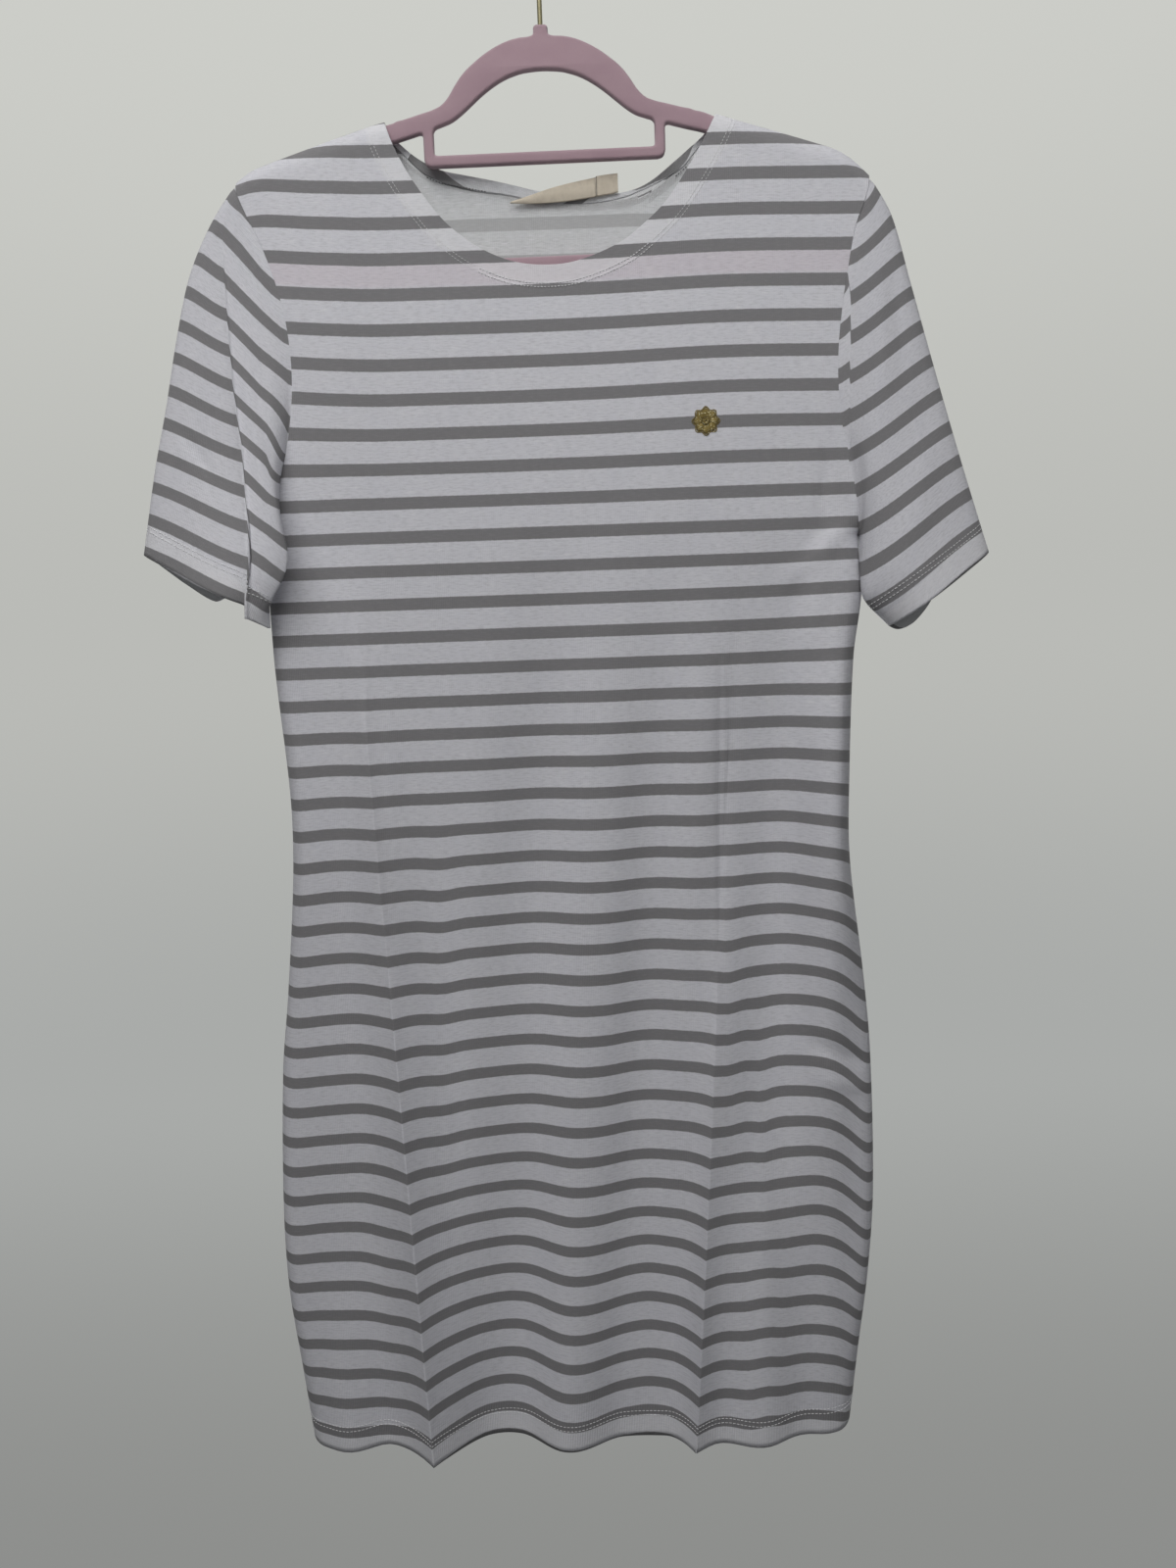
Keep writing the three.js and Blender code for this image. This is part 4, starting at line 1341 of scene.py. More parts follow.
    def relief(self, x: np.ndarray, z: np.ndarray, grid: SleeveGrid) -> np.ndarray:
        """Works out how far the wrinkles and the ledge along the crease stand off the tube.

        Args:
            x: Places across.
            z: Heights.
            grid: The grid.

        Returns:
            The distances in millimetres.
        """
        t, r, side, inward = grid.t, grid.r, grid.side, grid.inward
        lift = sum((form.lift(x, z) for form in self.wrinkles), np.zeros_like(x))
        lift = np.where(side < 0, lift, 0) + 0.5 * drape(x, z, 2.0 + side)
        soft_side, sharp_side = np.exp(inward / 9), np.exp(-inward / 0.9)
        ledge = self.ledge * np.where(inward < 0, soft_side, sharp_side) * np.where(side < 0, 1, 0.5)
        if self.plumb:
            ledge = ledge * smoothstep(t, 0.0, 0.25)
        else:
            ledge = ledge * smoothstep(r, 0.12, 0.3) * smoothstep(0.95 - r, 0, 0.2)
        return (lift * smoothstep(t, 0.0, 0.08) + ledge) * fullness(r)

    def lay(self, front: Panel, back: Panel) -> Sheet:
        """Lays the grid of the sleeve from the armhole's own points.

        Args:
            front: The front panel.
            back: The back panel.

        Returns:
            The sheet, with its grain and where it is doubled.
        """
        grid = self.lines(front)
        points = self.skin(front, back, grid)
        x, z = self.plan(front, grid.t, grid.r, grid.side)[0], points[:, :, 2]
        lift = self.relief(x, z, grid)
        bare = Sheet(points, points[:, :, :2], lift, closed=True)
        points = points + bare.facing(bare.from_axis()) * lift[:, :, None]
        across = grid.side * grid.r * self.width(grid.t) / STRIPE_PITCH
        grain = np.stack([across, self.stripes(x, z, grid.inner_leaf)], axis=2)
        grain = np.concatenate([grain, grain[:, :1]], axis=1)
        return Sheet(points, grain, smoothstep(grid.t, *self.turned_cuff), closed=True)

    def build(
        self, front: Panel, back: Panel, outer: bpy.types.Material, inner: bpy.types.Material
    ) -> bpy.types.Object:
        """Makes the sleeve, sets it on the dress's body and hides its solid.

        Args:
            front: The front panel.
            back: The back panel.
            outer: The finish of the right side of the cloth.
            inner: The finish of the wrong side.

        Returns:
            The finished piece.
        """
        self.sheet = self.lay(front, back)
        piece = self.sheet.build(self.name, self.sheet.from_axis(), outer, inner)
        thicken(piece, JERSEY, TURNED_PLY)
        declare(piece, self.node)
        return piece


# ------------------------------------------------------------------ bands and stitches


@dataclass
class NeckBand:
    """The turned-in band along one neck edge, under its panel.

    The cut says, for each x, how wide the band is and how far from the neck edge the stripe
    on it starts. Its turn, the seam that is folded under and doesn't show, is not used.
    """

    name: str
    node: str
    panel: Panel
    cut: Table
    thickness: float = 0.8
    gap: float = 0.12
    turn: float = 6.0
    half_stripe: float = 4.2
    steps: int = 110
    across: int = 8

    def lay(self) -> Sheet:
        """Lays the band under the panel, from the neck edge inward.

        Returns:
            The sheet, with its grain along the band.
        """
        path = self.panel.neck.path(self.steps)
        share = np.linspace(0.02, 1, self.across)[None, :]
        reach = self.cut.at("wide", path[:, 0:1]) * share
        x = path[:, 0:1] + path[:, 2:3] * reach
        z = path[:, 1:2] + path[:, 3:4] * reach
        corner = np.zeros(len(path), bool)
        corner[[0, -1]] = True
        z = np.where(corner[:, None], SHOULDER.at("z", np.abs(x)), z)
        z = np.minimum(z, SHOULDER.at("z", np.abs(x)) - 0.02)
        points, normals = self.panel.spot(x, z)
        points = points - normals * (JERSEY + self.gap)
        points[corner, :, 1] = self.panel.side.value * SEAM
        along = np.concatenate([[0], np.cumsum(np.hypot(*np.diff(path[:, :2], axis=0).T))])
        across = (reach - self.cut.at("start", x) - self.half_stripe) / STRIPE_PITCH
        grain = np.stack(np.broadcast_arrays(along[:, None] / STRIPE_PITCH, across), axis=2)
        return Sheet(points, grain, np.zeros(points.shape[:2]))

    def build(self, finish: bpy.types.Material) -> bpy.types.Object:
        """Makes the band, sets it on the dress's body and hides its solid.

        Args:
            finish: The band's material.

        Returns:
            The finished piece.
        """
        sheet = self.lay()
        piece = sheet.build(self.name, np.array([0.0, self.panel.side.value, 0.0]), finish)
        thicken(piece, self.thickness)
        declare(piece, self.node)
        return piece


@dataclass
class StitchRow:
    """A row of equal stitches along a path on the cloth."""

    points: np.ndarray
    normals: np.ndarray
    pitch: float = 2.9
    length: float = 2.3
    radius: float = 0.3
    rise: float = 0.12

    def frames(self) -> tuple[np.ndarray, np.ndarray, np.ndarray]:
        """Spaces the stitches evenly along the path.

        Returns:
            Their middles, their directions and the directions that they face.
        """
        steps = np.linalg.norm(np.diff(self.points, axis=0), axis=1)
        along = np.concatenate([[0], np.cumsum(steps)])
        places = np.arange(self.pitch / 2, along[-1], self.pitch)

        def read(values: np.ndarray, at: np.ndarray) -> np.ndarray:
            return np.stack([np.interp(at, along, values[:, k]) for k in range(3)], axis=1)

        near = 0.4
        ahead = read(self.points, places + near) - read(self.points, places - near)
        ahead /= np.maximum(np.linalg.norm(ahead, axis=1, keepdims=True), 1e-9)
        facing = read(self.normals, places)
        facing -= ahead * np.sum(facing * ahead, axis=1, keepdims=True)
        facing /= np.maximum(np.linalg.norm(facing, axis=1, keepdims=True), 1e-9)
        return read(self.points, places) + facing * self.rise, ahead, facing


@dataclass
class Stitching:
    """Rows of stitches sewn with one thread, as one piece."""

    name: str
    rows: list[StitchRow]
    finish: bpy.types.Material
    slot: str = "jersey"
    node: str = ""

    def model_stitch(self) -> tuple[np.ndarray, np.ndarray]:
        """Models one stitch a millimetre long and thick, lying along X.

        Returns:
            Its points and its faces.
        """
        select_none()
        bpy.ops.mesh.primitive_uv_sphere_add(segments=6, ring_count=5, radius=0.5)
        stitch = bpy.context.object
        bpy.ops.object.mode_set(mode="EDIT")
        bpy.ops.mesh.select_all(action="SELECT")
        bpy.ops.transform.rotate(value=math.pi / 2, orient_axis="Y", center_override=(0.0, 0.0, 0.0))
        bpy.ops.mesh.quads_convert_to_tris()
        bpy.ops.object.mode_set(mode="OBJECT")
        points = np.array([v.co[:] for v in stitch.data.vertices])
        faces = np.array([p.vertices[:] for p in stitch.data.polygons])
        bpy.data.objects.remove(stitch, do_unlink=True)
        return points, faces

    def build(self) -> bpy.types.Object:
        """Sews all the rows.

        Returns:
            The finished piece.
        """
        stitch, faces = self.model_stitch()
        points, corners = [], []
        for row in self.rows:
            middles, ahead, facing = row.frames()
            beside = np.cross(facing, ahead)
            for middle, a, b, c in zip(middles, ahead, beside, facing):
                sized = stitch * (row.length, 2 * row.radius, 2 * row.radius)
                corners.append(faces + len(points) * len(stitch))
                points.append(middle + sized @ np.stack([a, b, c]))
        mesh = bpy.data.meshes.new(self.name)
        mesh.from_pydata((np.concatenate(points) * MM).tolist(), [], np.concatenate(corners).tolist())
        piece = add_mesh(self.name, mesh, self.finish)
        declare(piece, self.node)
        return piece


def neck_row(
    panel: Panel, reach: float, span: tuple[float, float], inside: float = 0.0, **sizes: float
) -> StitchRow:
    """Runs a row of stitches beside a neck edge.

    Args:
        panel: The panel.
        reach: The distance from the edge.
        span: The x that it starts and ends at.
        inside: How far under the outer face the row lies, or 0 for on it.
        **sizes: The row's own sizes.

    Returns:
        The row.
    """
    clear = 6  # the steps at each end that lie in the shoulder seam
    path = panel.neck.path(240)[clear:-clear]
    path = path[(path[:, 0] > span[0]) & (path[:, 0] < span[1])]
    points, normals = panel.spot(path[:, 0] + path[:, 2] * reach, path[:, 1] + path[:, 3] * reach)
    if inside:
        return StitchRow(points - normals * inside, -normals, **sizes)
    return StitchRow(points, normals, **sizes)


def edge_row(sheet: Sheet, reach: float, outward: np.ndarray) -> StitchRow:
    """Runs a row of stitches beside the last edge of a sheet, such as a hem or a cuff.

    Args:
        sheet: The sheet.
        reach: The distance from the edge.
        outward: The way that its outside faces, for each point or for all.

    Returns:
        The row.
    """
    normals = sheet.facing(outward)
    columns = sheet.points.shape[1]
    points, facing = np.empty((columns, 3)), np.empty((columns, 3))
    for j in range(columns):
        line = sheet.points[::-1, j]
        along = np.concatenate([[0], np.cumsum(np.linalg.norm(np.diff(line, axis=0), axis=1))])
        for k in range(3):
            points[j, k] = np.interp(reach, along, line[:, k])
            facing[j, k] = np.interp(reach, along, normals[::-1, j, k])
    return StitchRow(points, facing)


# ------------------------------------------------------------------ labels and ornament


@dataclass
class RibbonTag:
    """A short piece of blank woven tape between a top and a bottom edge, standing at the neck."""

    name: str
    node: str
    outline: Table
    bulge: float
    flat: tuple[float, float]
    # whether the painted shadow of the slit is put on the tape's first end
    painted_slit_shadow: bool = False
    y: float = 6.0
    thickness: float = 0.45
    across: int = 40
    down: int = 14

    def lay(self) -> Sheet:
        """Lays the tape, a little bowed and curled at its ends.

        Returns:
            The sheet, with its grain.
        """
        u = np.linspace(0, 1, self.across)[None, :]
        v = np.linspace(0, 1, self.down)[:, None]
        x = lerp(self.outline.rows[0, 0], self.outline.rows[-1, 0], u)
        z = lerp(self.outline.at("top", x), self.outline.at("low", x), v)
        bow = self.bulge * (np.sin(math.pi * v) * (0.5 + 0.5 * u) + 0.35 * np.sin(5.2 * u + 2 * v))
        y = self.y - bow
        points = np.stack(np.broadcast_arrays(x, y, z), axis=2)
        grain = np.stack(np.broadcast_arrays(x, z), axis=2) / STRIPE_PITCH
        # painted shadow: the first two columns, at the end that meets the label, are marked dark
        slit_shadow = np.zeros(points.shape[:2])
        slit_shadow[:, :2] = self.painted_slit_shadow
        return Sheet(points, grain, slit_shadow)

    def build(self, finish: bpy.types.Material) -> bpy.types.Object:
        """Makes the tag, sets it on the dress's body and hides its solid.

        Args:
            finish: The tape's material.

        Returns:
            The finished piece.
        """
        piece = self.lay().build(self.name, np.array([0.0, -1.0, 0.0]), finish)
        thicken(piece, self.thickness)
        declare(piece, self.node)
        return piece


@dataclass
class Rosette:
    """A round ornament of satin-stitched petals in gold thread."""

    panel: Panel
    name: str = "gold_rosette"
    node: str = "emblem"
    x: float = 103.5
    z: float = -333.0
    radius: float = 9.6
    wave: float = 0.9
    petals: int = 8
    threads: int = 12
    padding: float = 0.5
    padding_edge: float = 0.15
    rim_clearance: float = 0.98
    eye: float = 2.6
    rays: int = 16
    ray_reach: tuple[float, float] = (0.3, 3.4)
    ray_rise: float = 0.75

    def rim(self, angle: float) -> float:
        """Returns the ornament's radius in one direction."""
        return self.radius - self.wave + self.wave * math.cos(self.petals * angle)

    def strand(self, inner: float, outer: float, angle: float, rise: float) -> StitchRow:
        """Lays one strand along a radius.

        Args:
            inner: Where it starts, from the middle.
            outer: Where it ends.
            angle: Its direction.
            rise: How far above the cloth it lies.

        Returns:
            A row of a single long stitch.
        """
        reach = np.linspace(inner, outer, 5)
        points, normals = self.panel.spot(self.x + reach * math.cos(angle), self.z + reach * math.sin(angle))
        span = outer - inner
        return StitchRow(points, normals, pitch=span * 0.98, length=span, radius=0.36, rise=rise)

    def build(self, finish: bpy.types.Material) -> bpy.types.Object:
        """Embroiders the ornament.

        Args:
            finish: The gold thread's material.

        Returns:
            The finished piece.
        """
        rows = []
        count = self.petals * self.threads
        for k in range(count):
            angle = 2 * math.pi * k / count
            rise = self.padding_edge + self.padding * abs(math.cos(self.petals * angle / 2))
            rows.append(self.strand(self.eye, self.rim(angle) * self.rim_clearance, angle, rise))
        for k in range(self.rays):
            angle = 2 * math.pi * (k + 0.5) / self.rays
            rows.append(self.strand(*self.ray_reach, angle, self.ray_rise))
        turn = np.linspace(0, 2 * math.pi, count + 1)
        edge = np.array([self.rim(angle) for angle in turn])
        points, normals = self.panel.spot(self.x + edge * np.cos(turn), self.z + edge * np.sin(turn))
        rows.append(StitchRow(points, normals, pitch=1.1, length=1.7, radius=0.38, rise=0.22))
        return Stitching(self.name, rows, finish, "gold_thread", self.node).build()


# ------------------------------------------------------------------ hanger and hook


def soft(*places: tuple[float, float]) -> Outline:
    """Returns places that an outline runs smoothly through."""
    return [(x, z, True) for x, z in places]


def sharp(*places: tuple[float, float]) -> Outline:
    """Returns places where an outline turns sharply."""
    return [(x, z, False) for x, z in places]


@dataclass
class Hanger:
    """A slim flocked hanger: arch, shoulder arms, a short bar on posts and a long bar.

    Its outline and its two windows are given by their right halves, from the hook outward.
    """

    name: str = "flocked_hanger"
    node: str = "hanger"
    thickness: float = 6.0
    roundness: float = 1.9
    tie_top: float = -151.9
    tie_low: float = -159.3
    post_in: float = 74.2
    post_out: float = 81.2
    bar_top: float = -219.0
    bar_low: float = -231.0
    arm_height: float = 13.0
    neck_end: float = 132.0
    neck_drop: float = 4.2
    seam_drop: float = 3.0
    arm_stations: tuple[float, ...] = (124, 140, 156, 172)
    tip: float = 203.0
    tip_wall: float = 12.0
    slope: float = 0.0095
    level_from: tuple[float, float] = (112.0, 190.0)

    def arm_top(self, x: float) -> float:
        """Returns the height of an arm's top edge, just under the shoulder seam."""
        return float(SHOULDER.at("z", x)) - (self.neck_drop if x < self.neck_end else self.seam_drop)

    def outer_line(self) -> Outline:
        """Gives the outline: the collar of the hook, the arch, the arm's top and the tip."""
        low, tip = self.bar_low, self.tip
        collar = soft((4.5, -74.2), (4.9, -77), (5.3, -79), (6.8, -79.8))
        arch = soft((15, -80.7), (22.5, -82.4), (30, -85.4), (37.4, -89.4), (45, -94.7), (52.5, -101),
                    (58.5, -108.4), (63.2, -115.3), (67.8, -120), (73, -122.6), (83, -125.4), (94, -128.3),
                    (98.3, -129.2), (101, -130.3), (105.5, -131.4), (110, -133))
        arm = soft(*((x, self.arm_top(x)) for x in (*self.arm_stations, 184, 193)))
        end = soft((199.5, -165.5), (tip, -171), (tip, -190), (tip, -209), (tip - 6.5, low + 6.5))
        return sharp((3.0, -73.1)) + collar + arch + arm + end + sharp((tip - 22, low), (100, low))

    def arch_line(self) -> Outline:
        """Gives the window under the arch, down to the short bar."""
        inner, top = self.post_in, self.tie_top
        arch = soft((11, -101.5), (19, -103.3), (26, -105.9), (33.5, -110), (41, -115.2), (49, -121.7),
                    (56, -127.2), (62, -130.9), (69, -133.4), (inner - 1.6, -134.8))
        post = sharp((inner, -137), (inner, top + 2.4))
        return arch + post + soft((inner - 0.6, top + 0.7)) + sharp((inner - 2.4, top), (30, top))

    def lower_line(self) -> Outline:
        """Gives the window between the short bar, the arm and the long bar."""
        outer, top, low, end = self.post_out, self.bar_top, self.tie_low, self.tip - self.tip_wall
        tie = sharp((40, low), (outer - 5, low)) + soft((outer - 1.5, low + 1.5))
        post = sharp((outer, low + 5), (outer, -140.3)) + soft((outer + 0.7, -138.3))
        arm = soft(*((x, self.arm_top(x) - self.arm_height) for x in self.arm_stations))
        arm = sharp((outer + 2.6, -137.9), (95, -140.9)) + soft((110, -145)) + arm
        arm += soft((183, -170.5), (189, -177))
        tip = sharp((end, -186)) + soft((end, top + 13), (end - 3, top + 3.5))
        return tie + post + arm + tip + sharp((end - 13, top), (100, top))

    def lean(self, x: float) -> float:
        """Returns how much higher the hanger lies at x, as it hangs a little down on one side."""
        return self.slope * x * float(1 - smoothstep(abs(x), *self.level_from))

    def spline(self, curve: bpy.types.Curve, half: Outline) -> None:
        """Adds one closed outline, mirrored about the hook.

        Args:
            curve: The curve that takes it.
            half: The outline's right half.
        """
        line = half + [(-x, z, smooth) for x, z, smooth in reversed(half)]
        spline = curve.splines.new("BEZIER")
        spline.bezier_points.add(len(line) - 1)
        for point, (x, z, smooth) in zip(spline.bezier_points, line):
            point.co = (x * MM, (z + self.lean(x)) * MM, 0)
            point.handle_left_type = point.handle_right_type = "AUTO" if smooth else "VECTOR"
        spline.use_cyclic_u = True

    def build_body(self) -> bpy.types.Object:
        """Moulds the flat body with its rounded edges.

        Returns:
            The body, standing in its place.
        """
        curve = bpy.data.curves.new(self.name, "CURVE")
        curve.dimensions = "2D"
        curve.fill_mode = "BOTH"
        curve.resolution_u = 6
        curve.extrude = (self.thickness / 2 - self.roundness) * MM
        curve.bevel_depth = self.roundness * MM
        curve.bevel_resolution = 3
        curve.offset = -self.roundness * MM
        for half in (self.outer_line(), self.arch_line(), self.lower_line()):
            self.spline(curve, half)
        body = add_object(self.name, curve)
        body.rotation_euler = (math.pi / 2, 0, 0)
        select_only(body)
        bpy.ops.object.convert(target="MESH")
        bpy.ops.object.transform_apply(location=True, rotation=True, scale=True)
        return body

    def build(self, finish: bpy.types.Material) -> bpy.types.Object:
        """Moulds the hanger and gives it its pile.

        Args:
            finish: The flocked material.

        Returns:
            The finished piece.
        """
        body = self.build_body()
        merge_doubles(body)
        body.data.materials.clear()
        body.data.materials.append(finish)
        bpy.ops.object.shade_smooth_by_angle(angle=math.radians(50))
        declare(body, self.node)
        return body


@dataclass
class Hook:
    """The wire hook: a straight stem, a bend to one side and an open loop."""

    name: str = "wire_hook"
    node: str = "hook"
    diameter: float = 3.3
    loop_radius: float = 22.0
    stem_low: float = -83.0
    bend_z: float = -57.0
    bend_angle: float = 45.0
    loop_end: float = 212.0
    sides: int = 20
    bend_steps: int = 7
    loop_steps: int = 44
    tip_taper: float = 0.75

    def build(self, finish: bpy.types.Material) -> bpy.types.Object:
        """Bends the wire as on a former.

        Args:
            finish: The plated wire's material.

        Returns:
            The finished piece.
        """
        turn = math.radians(self.bend_angle)
        loop_z = self.diameter / 2 - self.loop_radius
        reach = self.loop_radius * math.cos(turn)
        foot_z = loop_z - self.loop_radius * math.sin(turn)
        bend = (foot_z - reach - self.bend_z) / math.tan(turn / 2)
        select_none()
        bpy.ops.mesh.primitive_circle_add(vertices=self.sides, radius=self.diameter / 2 * MM,
                                          fill_type="NGON", location=(0, 0, self.stem_low * MM))
        hook = bpy.context.object
        hook.name = hook.data.name = self.name
        bpy.ops.object.mode_set(mode="EDIT")
        bpy.ops.mesh.select_all(action="SELECT")
        self.draw_out(0, (self.bend_z - self.stem_low) * MM)
        bpy.ops.mesh.spin(steps=self.bend_steps, angle=-turn, center=(bend * MM, 0, self.bend_z * MM),
                          axis=(0, 1, 0), use_auto_merge=False)
        straight = (foot_z - self.bend_z - bend * math.sin(turn)) * MM
        self.draw_out(straight, straight)
        bpy.ops.mesh.spin(steps=self.loop_steps, angle=math.radians(self.loop_end) + turn,
                          center=(0, 0, loop_z * MM), axis=(0, 1, 0), use_auto_merge=False)
        self.draw_out(0, 0)
        bpy.ops.transform.resize(value=(self.tip_taper,) * 3)
        bpy.ops.object.mode_set(mode="OBJECT")
        merge_doubles(hook)
        bpy.ops.object.transform_apply(location=True, rotation=True, scale=True)
        hook.data.materials.append(finish)
        bpy.ops.object.shade_smooth_by_angle(angle=math.radians(40))
        declare(hook, self.node)
        return hook

    def draw_out(self, x: float, z: float) -> None:
        """Extrudes the end of the wire by a way along X and Z, in metres."""
        bpy.ops.mesh.extrude_region_move(TRANSFORM_OT_translate={"value": (x, 0, z)})


# ------------------------------------------------------------------ studio


@dataclass(frozen=True)
class SoftLight:
    """One rectangular lamp, by its place and aim in metres and its power in watts."""

    name: str
    place: tuple[float, float, float]
    aim: tuple[float, float, float]
    size: tuple[float, float]
    power: float
    colour: tuple[float, float, float] = (1.0, 1.0, 1.0)

    def hang(self) -> None:
        """Hangs the lamp, turned to what it points at and out of the camera's sight."""
        lamp = bpy.data.lights.new(self.name, "AREA")
        lamp.shape = "RECTANGLE"
        lamp.size, lamp.size_y = self.size
        lamp.energy = self.power
        lamp.color = self.colour
        holder = add_object(self.name, lamp)
        holder.location = self.place
        holder.rotation_euler = (Vector(self.aim) - Vector(self.place)).to_track_quat("-Z", "Y").to_euler()
        holder.visible_camera = False


@dataclass
class Studio:
    """A pale cove, soft lights and the camera, in metres and degrees."""

    radius: float = 3.2
    floor_z: float = -1.7
    camera_place: tuple[float, float, float] = (0.0142, -0.8438, -0.464)
    camera_tip: float = 82.0
    camera_roll: float = -2.0
    lens: float = 27.0
    ambient: float = 0.09
    lights: tuple[SoftLight, ...] = (
        SoftLight("key", (-0.25, -1.12, 0.9), (0.0, 0.0, -0.25), (1.7, 1.2), 20.0, (1.0, 0.99, 0.98)),
        SoftLight("back", (0.3, 1.5, 0.5), (0.0, 0.0, -0.5), (1.6, 1.4), 8.0),
        SoftLight("fill", (0.0, -1.5, -0.15), (0.0, 0.0, -0.3), (1.2, 1.0), 2.7),
        SoftLight("bounce", (0.0, 0.9, -1.3), (0.0, 0.0, -0.2), (1.6, 1.0), 4.0),
    )

    def build_cove(self) -> None:
        """Builds the floor and the round wall that it runs into."""
        select_none()
        bpy.ops.mesh.primitive_uv_sphere_add(segments=96, ring_count=64, radius=self.radius)
        cove = bpy.context.object
        cove.name = cove.data.name = "cove"
        for vertex in cove.data.vertices:
            vertex.co.z = max(vertex.co.z, self.floor_z)
        bpy.ops.object.mode_set(mode="EDIT")
        bpy.ops.mesh.select_all(action="SELECT")
        bpy.ops.mesh.flip_normals()
        bpy.ops.object.mode_set(mode="OBJECT")
        bpy.ops.object.shade_smooth()
        # the cove glows with its own painted light
        cove.data.materials.append(BackdropFinish("cove_painted_light").material())
        cove.visible_diffuse = False
        cove.visible_shadow = False

    def add_camera(self) -> None:
        """Sets the camera in front of the dress, tipped down and a little on one side."""
        view = bpy.data.cameras.new("camera")
        view.sensor_fit = "VERTICAL"
        view.sensor_height = 36.0
        view.lens = self.lens
        camera = add_object("camera", view)
        camera.location = self.camera_place
        tip = Matrix.Rotation(math.radians(self.camera_tip), 4, "X")
        roll = Matrix.Rotation(math.radians(self.camera_roll), 4, "Z")
        camera.rotation_euler = (tip @ roll).to_euler()
        bpy.context.scene.camera = camera

    def build(self) -> None:
        """Sets up the whole studio."""
        self.build_cove()
        for light in self.lights:
            light.hang()
        world = bpy.data.worlds.new("world")
        world.use_nodes = True
        sky = world.node_tree.nodes["Background"].inputs
        sky["Color"].default_value = linear(200, 202, 206)
        sky["Strength"].default_value = self.ambient
        bpy.context.scene.world = world
        bpy.context.scene.view_settings.view_transform = "Standard"
        self.add_camera()


# ------------------------------------------------------------------ the dress

# Folds and wrinkles are given from the wearer's right, at -X, to the left. A fold's heights
# are those at the chest, waist, hips, thighs and hem.
FRONT_FOLDS = (
    Fold(-186, -184, (0, 5, 3, 2, 10), 32, 32),
    Fold(-137, -119, (2, 14, 20, 24, 27), 44, 42, sharp=True),
    Fold(-24, -64, (0, -8, -6, -9, -11), 46, 44),
    Fold(14, -14, (0, 2, 6, 9, 14), 40, 40),
    Fold(62, 38, (0, -7, -7, -4, -2), 36, 34),
    Fold(112, 79, (0, -4, 10, 18, 21), 22, 56, sharp=True),
    Fold(148, 130, (0, -9, -5, 8, 18), 40, 42),
    Fold(186, 178, (0, 14, 10, 6, 8), 34, 30),
)
BACK_FOLDS = (
    Fold(-110, -120, (0, 3, 6, 8, 10), 70, 70),
    Fold(10, 0, (0, -3, -4, -6, -7), 60, 60),
    Fold(115, 110, (0, 3, 6, 8, 10), 70, 70),
)
FRONT_WRINKLES = (
    Wrinkle((-134, -440), (-138, -820), -1.4, 2.6, bow=3.0),
    Wrinkle((111, -460), (104, -800), -1.3, 2.6),
    Wrinkle((196, -470), (176, -700), 1.2, 10.0),
    Wrinkle((137, -760), (130, -1060), 1.2, 5.0),
    Wrinkle((150, -452), (206, -400), 2.0, 5.0),
    Wrinkle((187, -346), (180, -436), -1.8, 3.2),
    Wrinkle((158, -480), (178, -395), -1.4, 4.0),
    Wrinkle((172, -500), (186, -410), 1.6, 4.0),
    Wrinkle((164, -772), (219, -800), -2.2, 5.0),
    Wrinkle((170, -800), (219, -818), 1.6, 4.0),
)
BACK_WRINKLES = (
    Wrinkle((-150, -452), (-204, -402), 1.8, 5.0),
    Wrinkle((150, -470), (204, -404), 1.8, 5.0),
    Wrinkle((-60, -300), (-40, -430), 1.0, 7.0),
)

# How far the stripes are pulled down along the side seams, the creases and the shoulders.
FRONT_SKEW = (
    Wrinkle((222, -480), (214, -1240), 24.0, 21.0),
    Wrinkle((176, -640), (176, -1010), -3.4, 18.0),
    Wrinkle((-192, -480), (-230, -1180), 2.6, 17.0),
    Wrinkle((-145, -840), (-160, -1220), 5.2, 18.0),
    Wrinkle((-93, -560), (-104, -960), 3.2, 14.0),
    Wrinkle((-72, -830), (-76, -1280), -3.6, 46.0),
    Wrinkle((48, -850), (44, -1280), -2.8, 18.0),
    Wrinkle((134, -720), (134, -900), 2.4, 9.0),
    Wrinkle((134, -900), (132, -1120), -4.0, 11.0),
    Wrinkle((114, -640), (108, -900), 1.8, 9.0),
    Wrinkle((-200, -90), (-196, -390), -5.2, 45.0),
    Wrinkle((130, -110), (120, -400), -2.0, 70.0),
    Wrinkle((222, -138), (218, -178), 6.0, 9.0),
    Wrinkle((-212, -145), (-207, -200), 3.0, 12.0),
    Wrinkle((230, -400), (230, -520), -2.0, 70.0),
)
BACK_SKEW = (Wrinkle((-130, -192), (130, -192), -3.4, 30.0),)

BACK_BAND = Table(
    "x start wide",
    [
        (-110, 9, 3), (-97, 9, 3.5), (-90, -1, 4.5), (-81, -1, 6.6), (-72, -1, 7.4), (-64, 3.8, 8.2),
        (-54, 8, 8.8), (-41, 9, 8.4), (-26, 9, 7.3), (5, 9, 6.5), (35, -9, 5), (55, -9, 3),
        (61, -7.5, 2.2), (72, -6.4, 3), (80, -4.5, 5), (87, -2.4, 6.4), (92, -2.6, 6.2),
        (97, -4, 5), (101, -8, 4), (105, -9, 3.4), (112, -9, 3),
    ],
)
FRONT_BAND = Table("x start wide", [(-112, 20, 14), (112, 20, 14)])

